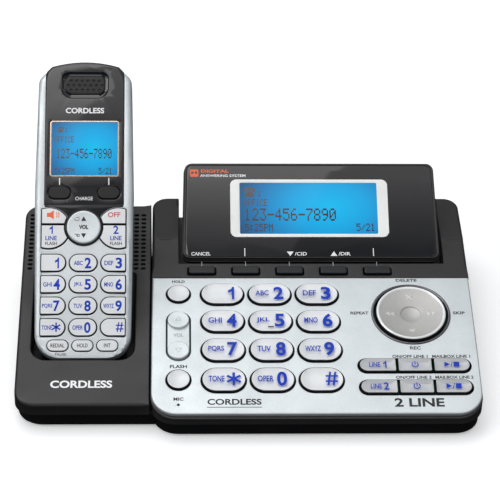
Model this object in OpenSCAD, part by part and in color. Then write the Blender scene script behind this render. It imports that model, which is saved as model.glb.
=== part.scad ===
// Two-line cordless telephone: a corded-style base with a tilting display,
// an answering machine and a charging cradle, and a cordless handset that stands in the cradle.
// Millimetres. +X right, +Y to the back, +Z up. The origin is on the table under the middle of the whole set.

/* [Base] */
// Width of the whole base
base_w = 235; // [231:1:239]
// Distance from the front of the base to the back of the handset's head
overall_d = 168.2; // [167.2:0.2:169.2]
// Depth of the console, the wide half with the keys
console_d = 152; // [150:1:153]
// Width of the charging cradle, the narrow half
cradle_w = 67.5; // [66.5:0.5:68]
// Depth of the charging cradle
cradle_d = 132.5; // [131:0.5:134]
// How far the front of the cradle stands behind the front of the console
cradle_back_set = 7.5; // [6:0.5:9]
// Height of the front edge of the silver faceplate above the table
front_h = 15.2; // [14.6:0.1:16]
// Height of the seam between the bottom shell and the top shells
split_h = 9; // [8:0.5:9.5]
// Radius of the front corners, seen from above
front_corner_r = 13; // [10:1:14]
// Thickness of the moulded walls
wall = 2.2; // [1.8:0.1:2.4]

/* [Faceplate] */
// Slope of the faceplate at its front edge, in degrees
front_slope = 15.5; // [15:0.5:16]
// Radius of the faceplate's gentle crown, front to back
crown_r = 650; // [600:10:700]
// Length of the faceplate from front to back, along its surface
deck_len = 89.3; // [88:0.1:90]
// Thickness of the faceplate
plate_t = 2; // [1.6:0.1:2.2]
// Slope of the dark strip behind the faceplate
strip_slope = 8.6; // [8:0.1:9]
// Length of the dark strip
strip_len = 27.4; // [27:0.1:28]

/* [Base keys] */
// Width of a number key
key_w = 21.8; // [21:0.1:22]
// Height of a number key
key_h = 14.2; // [13.5:0.1:14.4]
// Distance between the columns of number keys
key_pitch_x = 24.65; // [24.4:0.05:24.8]
// Distance between the rows of number keys
key_pitch_s = 18.85; // [18.5:0.05:19]
// Gap all round a key
key_gap = 0.55; // [0.45:0.05:0.6]
// How far a key stands above the surface round it
key_rise = 1.3; // [1:0.1:1.5]
// How far a key can be pressed
key_travel = 1; // [0.8:0.1:1]
// Radius of the four-way message dial
dial_r = 18.2; // [17.5:0.1:18.4]

/* [Display] */
// Width of the display panel at its bottom edge
panel_w = 137.4; // [136:0.2:138]
// Length of the display panel from its bottom edge to its top edge
panel_len = 56.5; // [55:0.5:57]
// Thickness of the display panel
panel_t = 10; // [9.5:0.1:10]
// Tilt of the display panel above the horizontal, as shown
panel_tilt = 30; // [29:1:31]

/* [Handset] */
// Length of the handset
handset_len = 158; // [157:0.5:158]
// Width of the handset at its widest
handset_w = 51; // [50:0.5:51]
// Thickness of the handset
handset_t = 26; // [25.5:0.5:26]
// Lean of the handset above the horizontal in the cradle
lean = 39.6; // [39.4:0.1:39.8]
// How far a handset key can be pressed
handset_travel = 0.7; // [0.5:0.1:0.7]

/* [Hidden] */
$fn = 64;

BLACK = [0.06, 0.06, 0.065];
CHARCOAL = [0.2, 0.2, 0.21];
SILVER = [0.8, 0.83, 0.85];
KEY_GREY = [0.9, 0.91, 0.92];
LINE_GREY = [0.68, 0.69, 0.71];

// Plan of the base
left_x = -base_w / 2;
right_x = base_w / 2;
seam_x = left_x + cradle_w;
seam_gap = 0.6;
front_y = -overall_d / 2;
console_x = seam_x + seam_gap;
console_back_y = front_y + console_d;
cradle_front_y = front_y + cradle_back_set;
cradle_back_y = cradle_front_y + cradle_d;
back_corner_r = 8;
foot_t = 1.5;
floor_z = foot_t;
floor_t = 2;
undercut = 1.2;

// The faceplate's crowned surface: s runs up it from the front edge
deck_front_y = front_y + 0.9;
crown_y = deck_front_y + crown_r * sin(front_slope);
crown_z = front_h - crown_r * cos(front_slope);
DECK_STEPS = 12;
function deck_slope(s) = front_slope - s / crown_r * 180 / PI;
function deck_y(s) = crown_y - crown_r * sin(deck_slope(s));
function deck_z(s) = crown_z + crown_r * cos(deck_slope(s));

// The dark strip and the rear shoulders behind the faceplate
shoulder_slope = 2.5;
strip_y = deck_y(deck_len);
strip_z = deck_z(deck_len);
shoulder_y = strip_y + strip_len * cos(strip_slope);
shoulder_z = strip_z + strip_len * sin(strip_slope);
console_back_z = shoulder_z + (console_back_y - shoulder_y) * tan(shoulder_slope);

// Places of the keys: x across, s up the faceplate
number_x = 12;
number_s = 19.9;
side_x = -35.4;
hold_s = 76.8;
flash_s = 20.2;
round_r = 5.8;
rocker_s = 48.8;
rocker_w = 11.2;
rocker_len = 31.2;
dial_x = 84.8;
dial_s = 63.3;
dial_gap = 0.9;
line_x = [55.9, 75.5, 93.7];
line_w = [19, 17.6, 18.7];
line_s = [28.8, 15.4];
line_h = 8;
soft_x = 23.2;
soft_pitch = 23.15;
soft_t = 4.7;
soft_w = 14;
soft_h = 5;
flange_z = -plate_t - 0.4;
flange_t = 0.8;
flange_rim = 0.7;
board_z = -7.6;
board_t = 1.6;

// The display panel: t up its face from the bottom edge, n out of its face
panel_x = 35;
panel_y = front_y + 100.1;
panel_z = 36.3;
hinge_t = 7;
hinge_n = -7.5;
pin_r = 1.5;
pin_clearance = 0.05;
notch_gap = 1.4;
notch_front_y = panel_y - 1.5;
notch_floor_z = 26;
bezel_n = -3.6;
glass_t = 0.9;
glass_inset = 2.6;
panel_taper = 1.1;
panel_corner_r = 4.5;
lcd_x = -0.8;
lcd_w = 74;
lcd_h = 29.5;
lcd_t0 = 15;

// The cradle: its top slopes evenly, and a well in it takes the handset
cradle_slope = 11.6;
cradle_front_z = 15.7;
cradle_back_z = cradle_front_z + cradle_d * tan(cradle_slope);
well_gap = 0.8;
well_bottom_z = 6;
rest_half_w = 15;
rest_top_v = 94;
grille_hole_r = 0.8;
grille_rows = 14;
grille_pitch = 2.85;

// The handset: v up its face from the bottom end, w out of its face
handset_x = -84.1;
handset_y = front_y + 36.6;
handset_z = 21.5;
split_w = -10;
face_half_w = 20.4;
fascia_v = 80;
shell_t = 2;
door_v = [14, 92];
door_half_w = 21;
door_t = 1.8;
door_shelf_w = -handset_t + door_t + 0.2;
row_v = 49.5;
row_pitch = 11.23;
row_h = 8.8;
column_half_w = 7;
pad_half_w = 21.6;
outer_column_w = 12.5;
nav_v = 68.3;
nav_r = 8.8;
block_x = 17.8;
block_v = 67.7;
block_r = 10.7;
block_split = 0.5;
block_divide_v = 69.7;
handset_key_gap = 0.4;
bottom_key_v = 6.4;
bottom_key_w = 10.4;
bottom_key_h = 5.4;
bottom_key_pitch = 12.6;
handset_soft_x = 12.7;
handset_soft_v = 86.7;
jack_v = 112;
jack_w = -16;
jack_bore_r = 1.3;
jack_bore_len = 8;

// ---------- places ----------
module on_deck(x, s) {
  translate([x, deck_y(s), deck_z(s)]) rotate([deck_slope(s), 0, 0]) children();
}

module on_strip(x, t) {
  translate([x, strip_y + t * cos(strip_slope), strip_z + t * sin(strip_slope)])
    rotate([strip_slope, 0, 0]) children();
}

module on_panel() {
  translate([panel_x, panel_y, panel_z]) rotate([panel_tilt, 0, 0]) children();
}

module on_cradle(x, y) {
  translate([x, y, cradle_front_z + (y - cradle_front_y) * tan(cradle_slope)])
    rotate([cradle_slope, 0, 0]) children();
}

module on_handset() {
  translate([handset_x, handset_y, handset_z]) rotate([lean, 0, 0]) children();
}

// ---------- outlines and plain forms ----------
// A rectangle with its own radius at the front and at the back corners
module plan(x0, x1, y0, y1, front_r, back_r) {
  translate([x0, y0 + front_r]) square([x1 - x0, y1 - y0 - front_r - back_r]);
  translate([x0 + front_r, y0]) square([x1 - x0 - 2 * front_r, front_r + 1]);
  translate([x0 + back_r, y1 - back_r - 1]) square([x1 - x0 - 2 * back_r, back_r + 1]);
  for (x = [x0 + front_r, x1 - front_r]) translate([x, y0 + front_r]) circle(r = front_r);
  for (x = [x0 + back_r, x1 - back_r]) translate([x, y1 - back_r]) circle(r = back_r);
}

module rounded(w, h, r) {
  plan(-w / 2, w / 2, -h / 2, h / 2, r, r);
}

module stadium(w, h) {
  square([w - h, h], center = true);
  for (side = [-1, 1]) translate([side * (w - h) / 2, 0]) circle(r = h / 2);
}

// Extrudes a profile drawn in Y and Z across the width from x0 to x1
module across(x0, x1) {
  translate([x0, 0, 0]) rotate([90, 0, 90]) linear_extrude(x1 - x0) children();
}

// A key: its cap, and a flange under the surface that keeps it in. Children draw the outline, grown by grow.
module key_body(rise, flange_top) {
  translate([0, 0, flange_top]) linear_extrude(rise - flange_top) children(0);
  translate([0, 0, flange_top - flange_t]) linear_extrude(flange_t) children(1);
}

// ---------- console ----------
// The outline from above of the console, inset all round
module console_plan(inset) {
  plan(console_x + inset, right_x - inset, front_y + inset, console_back_y - inset,
    front_corner_r - inset, back_corner_r - inset);
}

// The side profile: the faceplate's bed, lowered by bed, then the strip and the shoulders, all lowered by drop.
// The inner profile's step up to the strip stands back by step, which leaves a wall behind the faceplate.
module console_profile(bottom, bed, drop) {
  step = min(drop, 1.2);
  bed_points = [for (i = [0:DECK_STEPS])
    let (s = deck_len * i / DECK_STEPS) [deck_y(s), deck_z(s) - bed - drop]];
  step_foot = step > 0 ? [[strip_y + step, strip_z - bed - drop]] : [];
  polygon(concat(
    [[console_back_y + 1, bottom], [front_y - 1, bottom], [front_y - 1, front_h - bed - drop]],
    bed_points,
    step_foot,
    [[strip_y + step, strip_z + step * tan(strip_slope) - drop], [shoulder_y, shoulder_z - drop],
     [console_back_y + 1, console_back_z - drop]]));
}

module console_solid(bottom, inset, bed, drop) {
  intersection() {
    across(console_x, right_x) console_profile(bottom, bed, drop);
    translate([0, 0, bottom]) linear_extrude(80) console_plan(inset);
  }
}

// The space in which the display panel folds down between the shoulders
notch_x0 = panel_x - panel_w / 2 - notch_gap;
notch_x1 = panel_x + panel_w / 2 + notch_gap;
module notch(grow) {
  translate([notch_x0 - grow, notch_front_y - grow, notch_floor_z - grow])
    cube([notch_x1 - notch_x0 + 2 * grow, 100, 60]);
}

// The hinge line of the display panel
module hinge_rod(r, x0, x1) {
  on_panel() translate([x0 - panel_x, hinge_t, hinge_n]) rotate([0, 90, 0]) cylinder(r = r, h = x1 - x0);
}

screw_places = [[console_x + 6.2, front_y + 16], [right_x - 6.2, front_y + 16],
  [console_x + 7, console_back_y - 16], [right_x - 7, console_back_y - 16]];
boss_r = 3.4;
screw_r = 1.45;
jack_places = [15, 38];
power_x = 66;
jack_z = 16;
jack_w_x = 14;
jack_h = 12;
jack_d = 14;
socket_w = 9.8;
socket_h = 7;
socket_d = 10;

bed_rim = 4.5;
bed_back_rim = 2.5;
module soft_key_openings() {
  for (i = [0:4]) on_strip(soft_x + (i - 2) * soft_pitch, soft_t)
    translate([0, 0, -6]) linear_extrude(12) rounded(soft_w + 2 * key_gap, soft_h + 2 * key_gap, 1.2);
}

module console_frame() {
  color(CHARCOAL) difference() {
    union() {
      difference() {
        console_solid(split_h, 0, plate_t + 0.2, 0);
        console_solid(split_h - 1, wall, plate_t + 0.2, wall);
      }
      intersection() {
        console_solid(split_h, 0.1, plate_t + 0.2, 0.1);
        difference() {
          notch(wall);
          notch(0);
        }
      }
      intersection() {
        console_solid(split_h - 4, wall / 2, plate_t + 0.2, 1);
        for (p = screw_places) translate([p[0], p[1], split_h - 3]) cylinder(r = boss_r, h = 60);
      }
    }
    notch(0);
    hinge_rod(pin_r + pin_clearance, notch_x0 - wall - 1, notch_x1 + wall + 1);
    on_deck((console_x + right_x) / 2, (bed_rim + deck_len - bed_back_rim) / 2)
      translate([0, 0, -8]) linear_extrude(16)
        rounded(right_x - console_x - 2 * bed_rim, deck_len - bed_rim - bed_back_rim, 6);
    soft_key_openings();
    for (p = screw_places) translate([p[0], p[1], 0]) cylinder(r = screw_r + 0.05, h = 20);
    for (x = concat(jack_places, [power_x]))
      translate([x - jack_w_x / 2 - 0.2, console_back_y - wall - 1, jack_z - jack_h / 2 - 0.2])
        cube([jack_w_x + 0.4, wall + 2, jack_h + 0.4]);
  }
}

module number_key_place(column, row) {
  on_deck(number_x + (column - 1) * key_pitch_x, number_s + (3 - row) * key_pitch_s) children();
}

module faceplate_openings() {
  depth = 12;
  for (column = [0:2], row = [0:3]) number_key_place(column, row)
    translate([0, 0, -depth / 2]) linear_extrude(depth) stadium(key_w + 2 * key_gap, key_h + 2 * key_gap);
  for (s = [hold_s, flash_s]) on_deck(side_x, s)
    translate([0, 0, -depth / 2]) cylinder(r = round_r + key_gap, h = depth);
  on_deck(side_x, rocker_s) translate([0, 0, -depth / 2]) linear_extrude(depth)
    rotate(90) stadium(rocker_len + 2 * key_gap, rocker_w + 2 * key_gap);
  on_deck(dial_x, dial_s) translate([0, 0, -depth / 2]) cylinder(r = dial_r + dial_gap, h = depth);
  for (s = line_s) on_deck((line_x[0] + line_x[2] + line_w[2]) / 2, s)
    translate([0, 0, -depth / 2]) linear_extrude(depth)
      stadium(line_x[2] + line_w[2] - line_x[0] + 2 * key_gap, line_h + 2 * key_gap);
  on_deck(side_x, 5.6) translate([0, 0, -depth / 2]) cylinder(r = 0.7, h = depth);
}

module faceplate() {
  color(SILVER) difference() {
    intersection() {
      across(console_x, right_x) polygon(concat(
        [for (i = [0:DECK_STEPS]) let (s = deck_len * i / DECK_STEPS) [deck_y(s), deck_z(s)]],
        [for (i = [0:DECK_STEPS]) let (s = deck_len * (1 - i / DECK_STEPS)) [deck_y(s), deck_z(s) - plate_t]]));
      linear_extrude(80) console_plan(0.3);
    }
    faceplate_openings();
  }
}

// ---------- bottom shell ----------
module lower_plan(inset) {
  plan(left_x + undercut + inset, seam_x + 20, cradle_front_y + undercut + inset, cradle_back_y - undercut - inset,
    front_corner_r - inset, back_corner_r - inset);
  plan(console_x + undercut + inset, right_x - undercut - inset, front_y + undercut + inset,
    console_back_y - undercut - inset, front_corner_r - inset, back_corner_r - inset);
}

cradle_screw_places = [[left_x + 16, cradle_front_y + 12], [left_x + 12, cradle_back_y - 12]];

module base_lower_housing() {
  color(BLACK) difference() {
    translate([0, 0, floor_z]) linear_extrude(split_h - floor_z) lower_plan(0);
    translate([0, 0, floor_z + floor_t]) linear_extrude(split_h) lower_plan(wall);
    for (p = concat(screw_places, cradle_screw_places)) translate([p[0], p[1], 0]) {
      cylinder(r = screw_r + 0.25, h = 8);
      cylinder(r = 3.1, h = floor_z + 1.2);
    }
  }
}

foot_places = [[left_x + 14, cradle_front_y + 30], [left_x + 14, cradle_back_y - 28],
  [right_x - 16, front_y + 32], [right_x - 16, console_back_y - 32], [console_x + 12, front_y + 32]];

module rubber_feet() {
  color([0.12, 0.12, 0.12]) for (p = foot_places) translate([p[0], p[1], 0]) cylinder(r = 6, h = foot_t);
}

module housing_screws() {
  color([0.7, 0.7, 0.72]) for (p = concat(screw_places, cradle_screw_places)) translate([p[0], p[1], 0]) {
    difference() {
      translate([0, 0, floor_z + 0.1]) cylinder(r = 2.8, h = 1.05);
      translate([0, 0, floor_z]) cube([3.4, 0.7, 1.2], center = true);
      translate([0, 0, floor_z]) cube([0.7, 3.4, 1.2], center = true);
    }
    translate([0, 0, floor_z + 1]) cylinder(r = screw_r, h = 9);
  }
}

// ---------- inside the base ----------
module base_circuit_board() {
  color([0.1, 0.35, 0.2]) {
    difference() {
      on_deck((console_x + right_x) / 2, deck_len / 2 + 1.5) translate([0, 0, board_z - board_t])
        linear_extrude(board_t) square([right_x - console_x - 12, deck_len - 19], center = true);
      for (p = screw_places) translate([p[0], p[1], 0]) cylinder(r = boss_r + 0.7, h = 60);
    }
    for (column = [0:2], row = [0:3]) number_key_place(column, row) dome(4);
    for (s = [hold_s, flash_s]) on_deck(side_x, s) dome(3);
    for (side = [-1, 1]) on_deck(side_x, rocker_s + side * 9) dome(3);
    for (side = [-1, 1]) on_deck(dial_x, dial_s + side * 12) dome(3);
    for (k = [0:2], s = line_s) on_deck(line_x[k] + line_w[k] / 2, s) dome(3);
  }
}

// A snap dome standing on the board under a key
module dome(r) {
  top = flange_z - flange_t - key_travel - 0.5;
  translate([0, 0, board_z - 1.2]) cylinder(r = r, h = top - board_z + 1.2);
}

speaker_y = front_y + 121;
speaker_z = 23;
module speaker() {
  color([0.15, 0.15, 0.16]) translate([handset_x, speaker_y, speaker_z]) rotate([cradle_slope, 0, 0]) {
    difference() {
      cylinder(r1 = 9, r2 = 17, h = 8);
      translate([0, 0, 2]) cylinder(r1 = 8, r2 = 16, h = 7);
    }
    translate([0, 0, 8]) difference() {
      cylinder(r = 18, h = 1.2);
      translate([0, 0, -1]) cylinder(r = 15.5, h = 4);
    }
    translate([0, 0, 4]) cylinder(r1 = 14, r2 = 6, h = 2.5);
    translate([0, 0, -4.5]) cylinder(r = 9, h = 5);
  }
}

module rear_jacks() {
  color([0.1, 0.1, 0.11]) {
    for (x = jack_places) difference() {
      translate([x - jack_w_x / 2, console_back_y - jack_d - 0.4, jack_z - jack_h / 2])
        cube([jack_w_x, jack_d, jack_h]);
      translate([x - socket_w / 2, console_back_y - socket_d - 0.4, jack_z - socket_h / 2])
        cube([socket_w, socket_d + 1, socket_h]);
      translate([x - 2, console_back_y - socket_d - 0.4, jack_z - socket_h / 2 - 1.6])
        cube([4, socket_d + 1, 3]);
    }
    difference() {
      translate([power_x - jack_w_x / 2, console_back_y - jack_d - 0.4, jack_z - jack_h / 2])
        cube([jack_w_x, jack_d, jack_h]);
      translate([power_x, console_back_y + 1, jack_z]) rotate([90, 0, 0]) cylinder(r = 2.9, h = 10.4);
    }
    translate([power_x, console_back_y - 1.6, jack_z]) rotate([90, 0, 0]) cylinder(r = 1, h = 9);
  }
}

module charge_contacts() {
  color([0.85, 0.75, 0.4]) on_handset() for (x = [-9, 9])
    translate([x - 1.5, -well_gap - 0.9, -13]) cube([3, 1.2, 7]);
}

// ---------- cradle ----------
module cradle_plan(inset) {
  plan(left_x + inset, seam_x - inset, cradle_front_y + inset, cradle_back_y - inset,
    front_corner_r - 3, back_corner_r - inset);
  translate([seam_x - 20, cradle_front_y + inset]) square([20 - inset, 20]);
}

module cradle_solid(bottom, inset, drop) {
  intersection() {
    across(left_x, seam_x) polygon([[cradle_front_y - 1, bottom], [cradle_back_y + 1, bottom],
      [cradle_back_y + 1, cradle_back_z + tan(cradle_slope) - drop],
      [cradle_front_y - 1, cradle_front_z - tan(cradle_slope) - drop]]);
    translate([0, 0, bottom]) linear_extrude(80) cradle_plan(inset);
  }
}

// The well that the handset drops into, and its walls when grown
module well(grow) {
  intersection() {
    on_handset() translate([0, 0, -handset_t - 0.6 - grow]) linear_extrude(90)
      plan(-handset_w / 2 - 0.9 - grow, handset_w / 2 + 0.9 + grow, -well_gap - grow, 200, 8, 8);
    translate([-200, -200, well_bottom_z - grow]) cube(400);
  }
}

// The rest behind the handset's back, hidden when the handset is in place
module back_rest(inset) {
  on_handset() intersection() {
    translate([-rest_half_w + inset, 40, -handset_t - 40]) cube([2 * (rest_half_w - inset), rest_top_v - 40 - inset,
      40 - 0.6 - inset]);
    rotate([-lean, 0, 0]) translate([-100, -100, -200]) cube([200, cradle_back_y - 6 - inset - handset_y + 100, 400]);
  }
}

module cradle_cover() {
  color(CHARCOAL) difference() {
    union() {
      difference() {
        union() {
          cradle_solid(split_h, 0, 0);
          intersection() {
            back_rest(0);
            translate([-200, -200, 28]) cube(400);
          }
        }
        difference() {
          union() {
            cradle_solid(split_h - 1, wall, wall);
            intersection() {
              back_rest(wall);
              translate([-200, -200, 20]) cube(400);
            }
          }
          well(wall - 0.2);
        }
      }
      intersection() {
        cradle_solid(floor_z + floor_t + 0.4, wall / 2, 1);
        difference() {
          well(wall - 0.2);
          well(0);
        }
      }
      intersection() {
        cradle_solid(split_h - 3, wall / 2, 1);
        for (p = cradle_screw_places) translate([p[0], p[1], split_h - 3]) cylinder(r = boss_r, h = 60);
      }
    }
    difference() {
      well(0);
      back_rest(0);
    }
    on_handset() for (x = [-9, 9]) translate([x - 1.8, -well_gap - 1.1, -13.4]) cube([3.6, 3, 7.8]);
    for (p = cradle_screw_places) translate([p[0], p[1], 0]) cylinder(r = screw_r + 0.05, h = 16);
    for (row = [0:grille_rows - 1], x = [left_x + 1.9 + wall, left_x + 5.6 + wall, seam_x - 4, seam_x - 7.8])
      on_cradle(x, cradle_back_y - 7.6 - row * grille_pitch) translate([0, 0, -5]) cylinder(r = grille_hole_r, h = 10);
  }
}

// ---------- keys on the console ----------
module number_key(column, row) {
  color(KEY_GREY) number_key_place(column, row) key_body(key_rise, flange_z) {
    stadium(key_w, key_h);
    stadium(key_w + 2 * flange_rim, key_h + 2 * flange_rim);
  }
}

module key_1() number_key(0, 0);
module key_2() number_key(1, 0);
module key_3() number_key(2, 0);
module key_4() number_key(0, 1);
module key_5() number_key(1, 1);
module key_6() number_key(2, 1);
module key_7() number_key(0, 2);
module key_8() number_key(1, 2);
module key_9() number_key(2, 2);
module key_star() number_key(0, 3);
module key_0() number_key(1, 3);
module key_pound() number_key(2, 3);

module round_key(s) {
  color(KEY_GREY) on_deck(side_x, s) key_body(key_rise, flange_z) {
    circle(r = round_r);
    circle(r = round_r + flange_rim);
  }
}

module key_hold() round_key(hold_s);
module key_flash() round_key(flash_s);

module volume_rocker() {
  color(KEY_GREY) on_deck(side_x, rocker_s) {
    translate([0, 0, -2.6]) linear_extrude(2.4) rotate(90) stadium(rocker_len, rocker_w);
    for (side = [-1, 1]) translate([0, side * (rocker_len - rocker_w) / 2, -2.6]) cylinder(r = rocker_w / 2, h = 4);
  }
}

module message_dial() {
  color(LINE_GREY) on_deck(dial_x, dial_s) difference() {
    translate([0, 0, -2.2]) cylinder(r = dial_r, h = 4.2);
    translate([0, 0, 14]) sphere(r = 13.1);
  }
}

// One key of a row of three; side is -1 for the left end, 0 for the middle, 1 for the right end
module line_key(k, row) {
  side = k - 1;
  color(LINE_GREY) on_deck(line_x[k] + line_w[k] / 2, line_s[row]) key_body(key_rise, flange_z) {
    line_outline(side, line_w[k], line_h);
    line_outline(side, line_w[k], line_h + 2 * flange_rim);
  }
}

module line_outline(side, w, h) {
  if (side == 0) square([w, h], center = true);
  else {
    translate([-side * h / 4, 0]) square([w - h / 2, h], center = true);
    translate([side * (w - h) / 2, 0]) circle(r = h / 2);
  }
}

module line_1_key() line_key(0, 0);
module on_off_1_key() line_key(1, 0);
module play_1_key() line_key(2, 0);
module line_2_key() line_key(0, 1);
module on_off_2_key() line_key(1, 1);
module play_2_key() line_key(2, 1);

module soft_key(i) {
  color(BLACK) on_strip(soft_x + (i - 2) * soft_pitch, soft_t) key_body(1.6, -wall - 0.5) {
    rounded(soft_w, soft_h, 1);
    rounded(soft_w + 2 * flange_rim + 0.4, soft_h + 0.6, 1);
  }
}

module soft_key_1() soft_key(0);
module soft_key_2() soft_key(1);
module soft_key_3() soft_key(2);
module soft_key_4() soft_key(3);
module soft_key_5() soft_key(4);

// ---------- display ----------
// The panel's outline, a little narrower at the top, inset all round
module panel_outline(inset) {
  hull() for (side = [-1, 1]) {
    translate([side * (panel_w / 2 - panel_corner_r), panel_corner_r])
      circle(r = panel_corner_r - inset, $fn = 32);
    translate([side * (panel_w / 2 - panel_taper - panel_corner_r), panel_len - panel_corner_r])
      circle(r = panel_corner_r - inset, $fn = 32);
  }
}

module lcd_opening(grow) {
  translate([lcd_x - lcd_w / 2 - grow, lcd_t0 - grow]) square([lcd_w + 2 * grow, lcd_h + 2 * grow]);
}

module display_rear_shell() {
  color(BLACK) {
    on_panel() difference() {
      translate([0, 0, -panel_t]) linear_extrude(panel_t + bezel_n) panel_outline(0);
      translate([0, 0, -panel_t + shell_t]) linear_extrude(panel_t) panel_outline(shell_t);
    }
    hinge_rod(pin_r, notch_x0 - wall + 0.3, notch_x0 + notch_gap + 1);
    hinge_rod(pin_r, notch_x1 - notch_gap - 1, notch_x1 + wall - 0.3);
  }
}

module display_bezel() {
  color(CHARCOAL) on_panel() difference() {
    translate([0, 0, bezel_n]) linear_extrude(-bezel_n) panel_outline(0.4);
    translate([0, 0, bezel_n - 1]) linear_extrude(-bezel_n + 1 - glass_t - 1.2) panel_outline(shell_t);
    translate([0, 0, -glass_t - 0.05]) linear_extrude(4) panel_outline(glass_inset - 0.15);
    translate([0, 0, -10]) linear_extrude(20) lcd_opening(4);
  }
}

module display_window() {
  color([0.25, 0.27, 0.3, 0.6]) on_panel()
    translate([0, 0, -glass_t]) linear_extrude(glass_t) panel_outline(glass_inset);
}

module display_lcd() {
  color([0.15, 0.6, 0.9]) on_panel() translate([0, 0, bezel_n - 2]) linear_extrude(-bezel_n + 2 - glass_t - 0.4)
    lcd_opening(3.6);
}

// ---------- handset ----------
// The handset's outline: slightly barrel-shaped sides and an arched head, inset all round
module handset_outline(inset) {
  hull() {
    for (side = [-1, 1]) {
      translate([side * (handset_w / 2 - 14), 13]) circle(r = 13 - inset, $fn = 32);
      translate([side * (handset_w / 2 - 10), 88]) circle(r = 10 - inset, $fn = 32);
      translate([side * (handset_w / 2 - 7.2), handset_len - 12]) circle(r = 6 - inset, $fn = 32);
    }
    translate([0, handset_len - 60]) intersection() {
      circle(r = 60 - inset, $fn = 120);
      translate([-18, 0]) square([36, 100]);
    }
  }
}

// The handset's back as a side profile in v and w, raised by lift
module handset_back_profile(lift) {
  polygon([[-2, 1], [handset_len + 2, 1], [handset_len + 2 - lift, -11 + lift], [handset_len - 2 - lift, -18 + lift],
    [handset_len - 10 - lift / 2, -23.5 + lift], [handset_len - 26, -handset_t + lift],
    [door_v[1] + 0.3 + lift * 0.6, -handset_t + lift], [door_v[1] + 0.3 + lift * 0.6, door_shelf_w + lift],
    [door_v[0], door_shelf_w + lift], [8, -22.5 + lift], [3, -18.5 + lift], [-2 + lift, -11 + lift]]);
}

module handset_back_solid(inset, lift) {
  intersection() {
    translate([0, 0, -handset_t - 1]) linear_extrude(handset_t + 1 + split_w) handset_outline(inset);
    across(-handset_w, handset_w) handset_back_profile(lift);
  }
}

compartment_v = [34, 83];
compartment_half_w = 16.4;

module handset_back_shell() {
  color(BLACK) on_handset() difference() {
    union() {
      difference() {
        handset_back_solid(0, 0);
        handset_back_solid(shell_t, shell_t);
      }
      translate([-compartment_half_w - 1.2, compartment_v[0] - 1.2, -23])
        cube([2 * compartment_half_w + 2.4, compartment_v[1] - compartment_v[0] + 2.4, 11.4]);
      translate([handset_w / 2 - 9, jack_v, jack_w]) rotate([0, 90, 0]) cylinder(r = 3, h = 8);
    }
    translate([-compartment_half_w, compartment_v[0], -30])
      cube([2 * compartment_half_w, compartment_v[1] - compartment_v[0], 17.2]);
    translate([handset_w / 2 - 8.8, jack_v, jack_w]) rotate([0, 90, 0]) cylinder(r = jack_bore_r, h = 12);
  }
}

module handset_battery_door() {
  color(BLACK) on_handset() {
    translate([0, 0, -handset_t]) linear_extrude(door_t)
      plan(-door_half_w, door_half_w, door_v[0], door_v[1], 6, 2);
  }
}

module handset_battery_pack() {
  cell_r = 5.2;
  color([0.2, 0.35, 0.6]) on_handset() translate([0, compartment_v[0] + 2, -18.3]) {
    for (x = [-10.3, 0, 10.3]) translate([x, 0, 0]) rotate([-90, 0, 0]) cylinder(r = cell_r, h = 44.5);
    translate([-10.3, 1, -3]) cube([20.6, 42.5, 6]);
  }
}

// Outlines of the handset's openings and keys, grown by grow
module pad_key(column, grow) {
  if (column == 1) stadium(2 * column_half_w + 2 * grow, row_h + 2 * grow);
  else {
    side = column - 1;
    inner = pad_half_w - outer_column_w;
    translate([side * (inner + row_h / 2), 0]) circle(r = row_h / 2 + grow);
    translate([side * (inner + row_h / 2 + pad_half_w) / 2, 0])
      square([outer_column_w - row_h / 2 + 2 * grow * 0.5, row_h + 2 * grow], center = true);
  }
}

module nav_block(side, upper, grow) {
  difference() {
    intersection() {
      translate([side * block_x, block_v]) circle(r = block_r + grow);
      translate([side > 0 ? 0 : -pad_half_w - grow, upper ? block_divide_v + block_split / 2 - grow : 0])
        square([pad_half_w + grow, upper ? 30 : block_divide_v - block_split / 2 + grow]);
    }
    translate([0, nav_v]) circle(r = nav_r + 1.2 - grow);
  }
}

module handset_front_openings() {
  for (row = [0:3], column = [0:2]) translate([0, row_v - row * row_pitch]) pad_key(column, handset_key_gap);
  for (side = [-1, 1], upper = [true, false]) nav_block(side, upper, handset_key_gap);
  translate([0, nav_v]) circle(r = nav_r + handset_key_gap);
  for (i = [-1:1]) translate([i * bottom_key_pitch, bottom_key_v])
    stadium(bottom_key_w + 2 * handset_key_gap, bottom_key_h + 2 * handset_key_gap);
}

module fascia_area() {
  intersection() {
    handset_outline(0);
    translate([-face_half_w + 0.1, fascia_v + 0.1]) square([2 * face_half_w - 0.2, 100]);
  }
}

module handset_front_shell() {
  color(SILVER) on_handset() difference() {
    translate([0, 0, split_w + 0.1]) linear_extrude(-split_w - 0.1) handset_outline(0);
    translate([0, 0, split_w - 1]) linear_extrude(-split_w + 1 - shell_t) handset_outline(shell_t);
    translate([-face_half_w - 0.1, fascia_v - 0.1, split_w - 1]) cube([2 * face_half_w + 0.2, 100, 20]);
    translate([0, 0, -5]) linear_extrude(10) handset_front_openings();
  }
}

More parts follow.
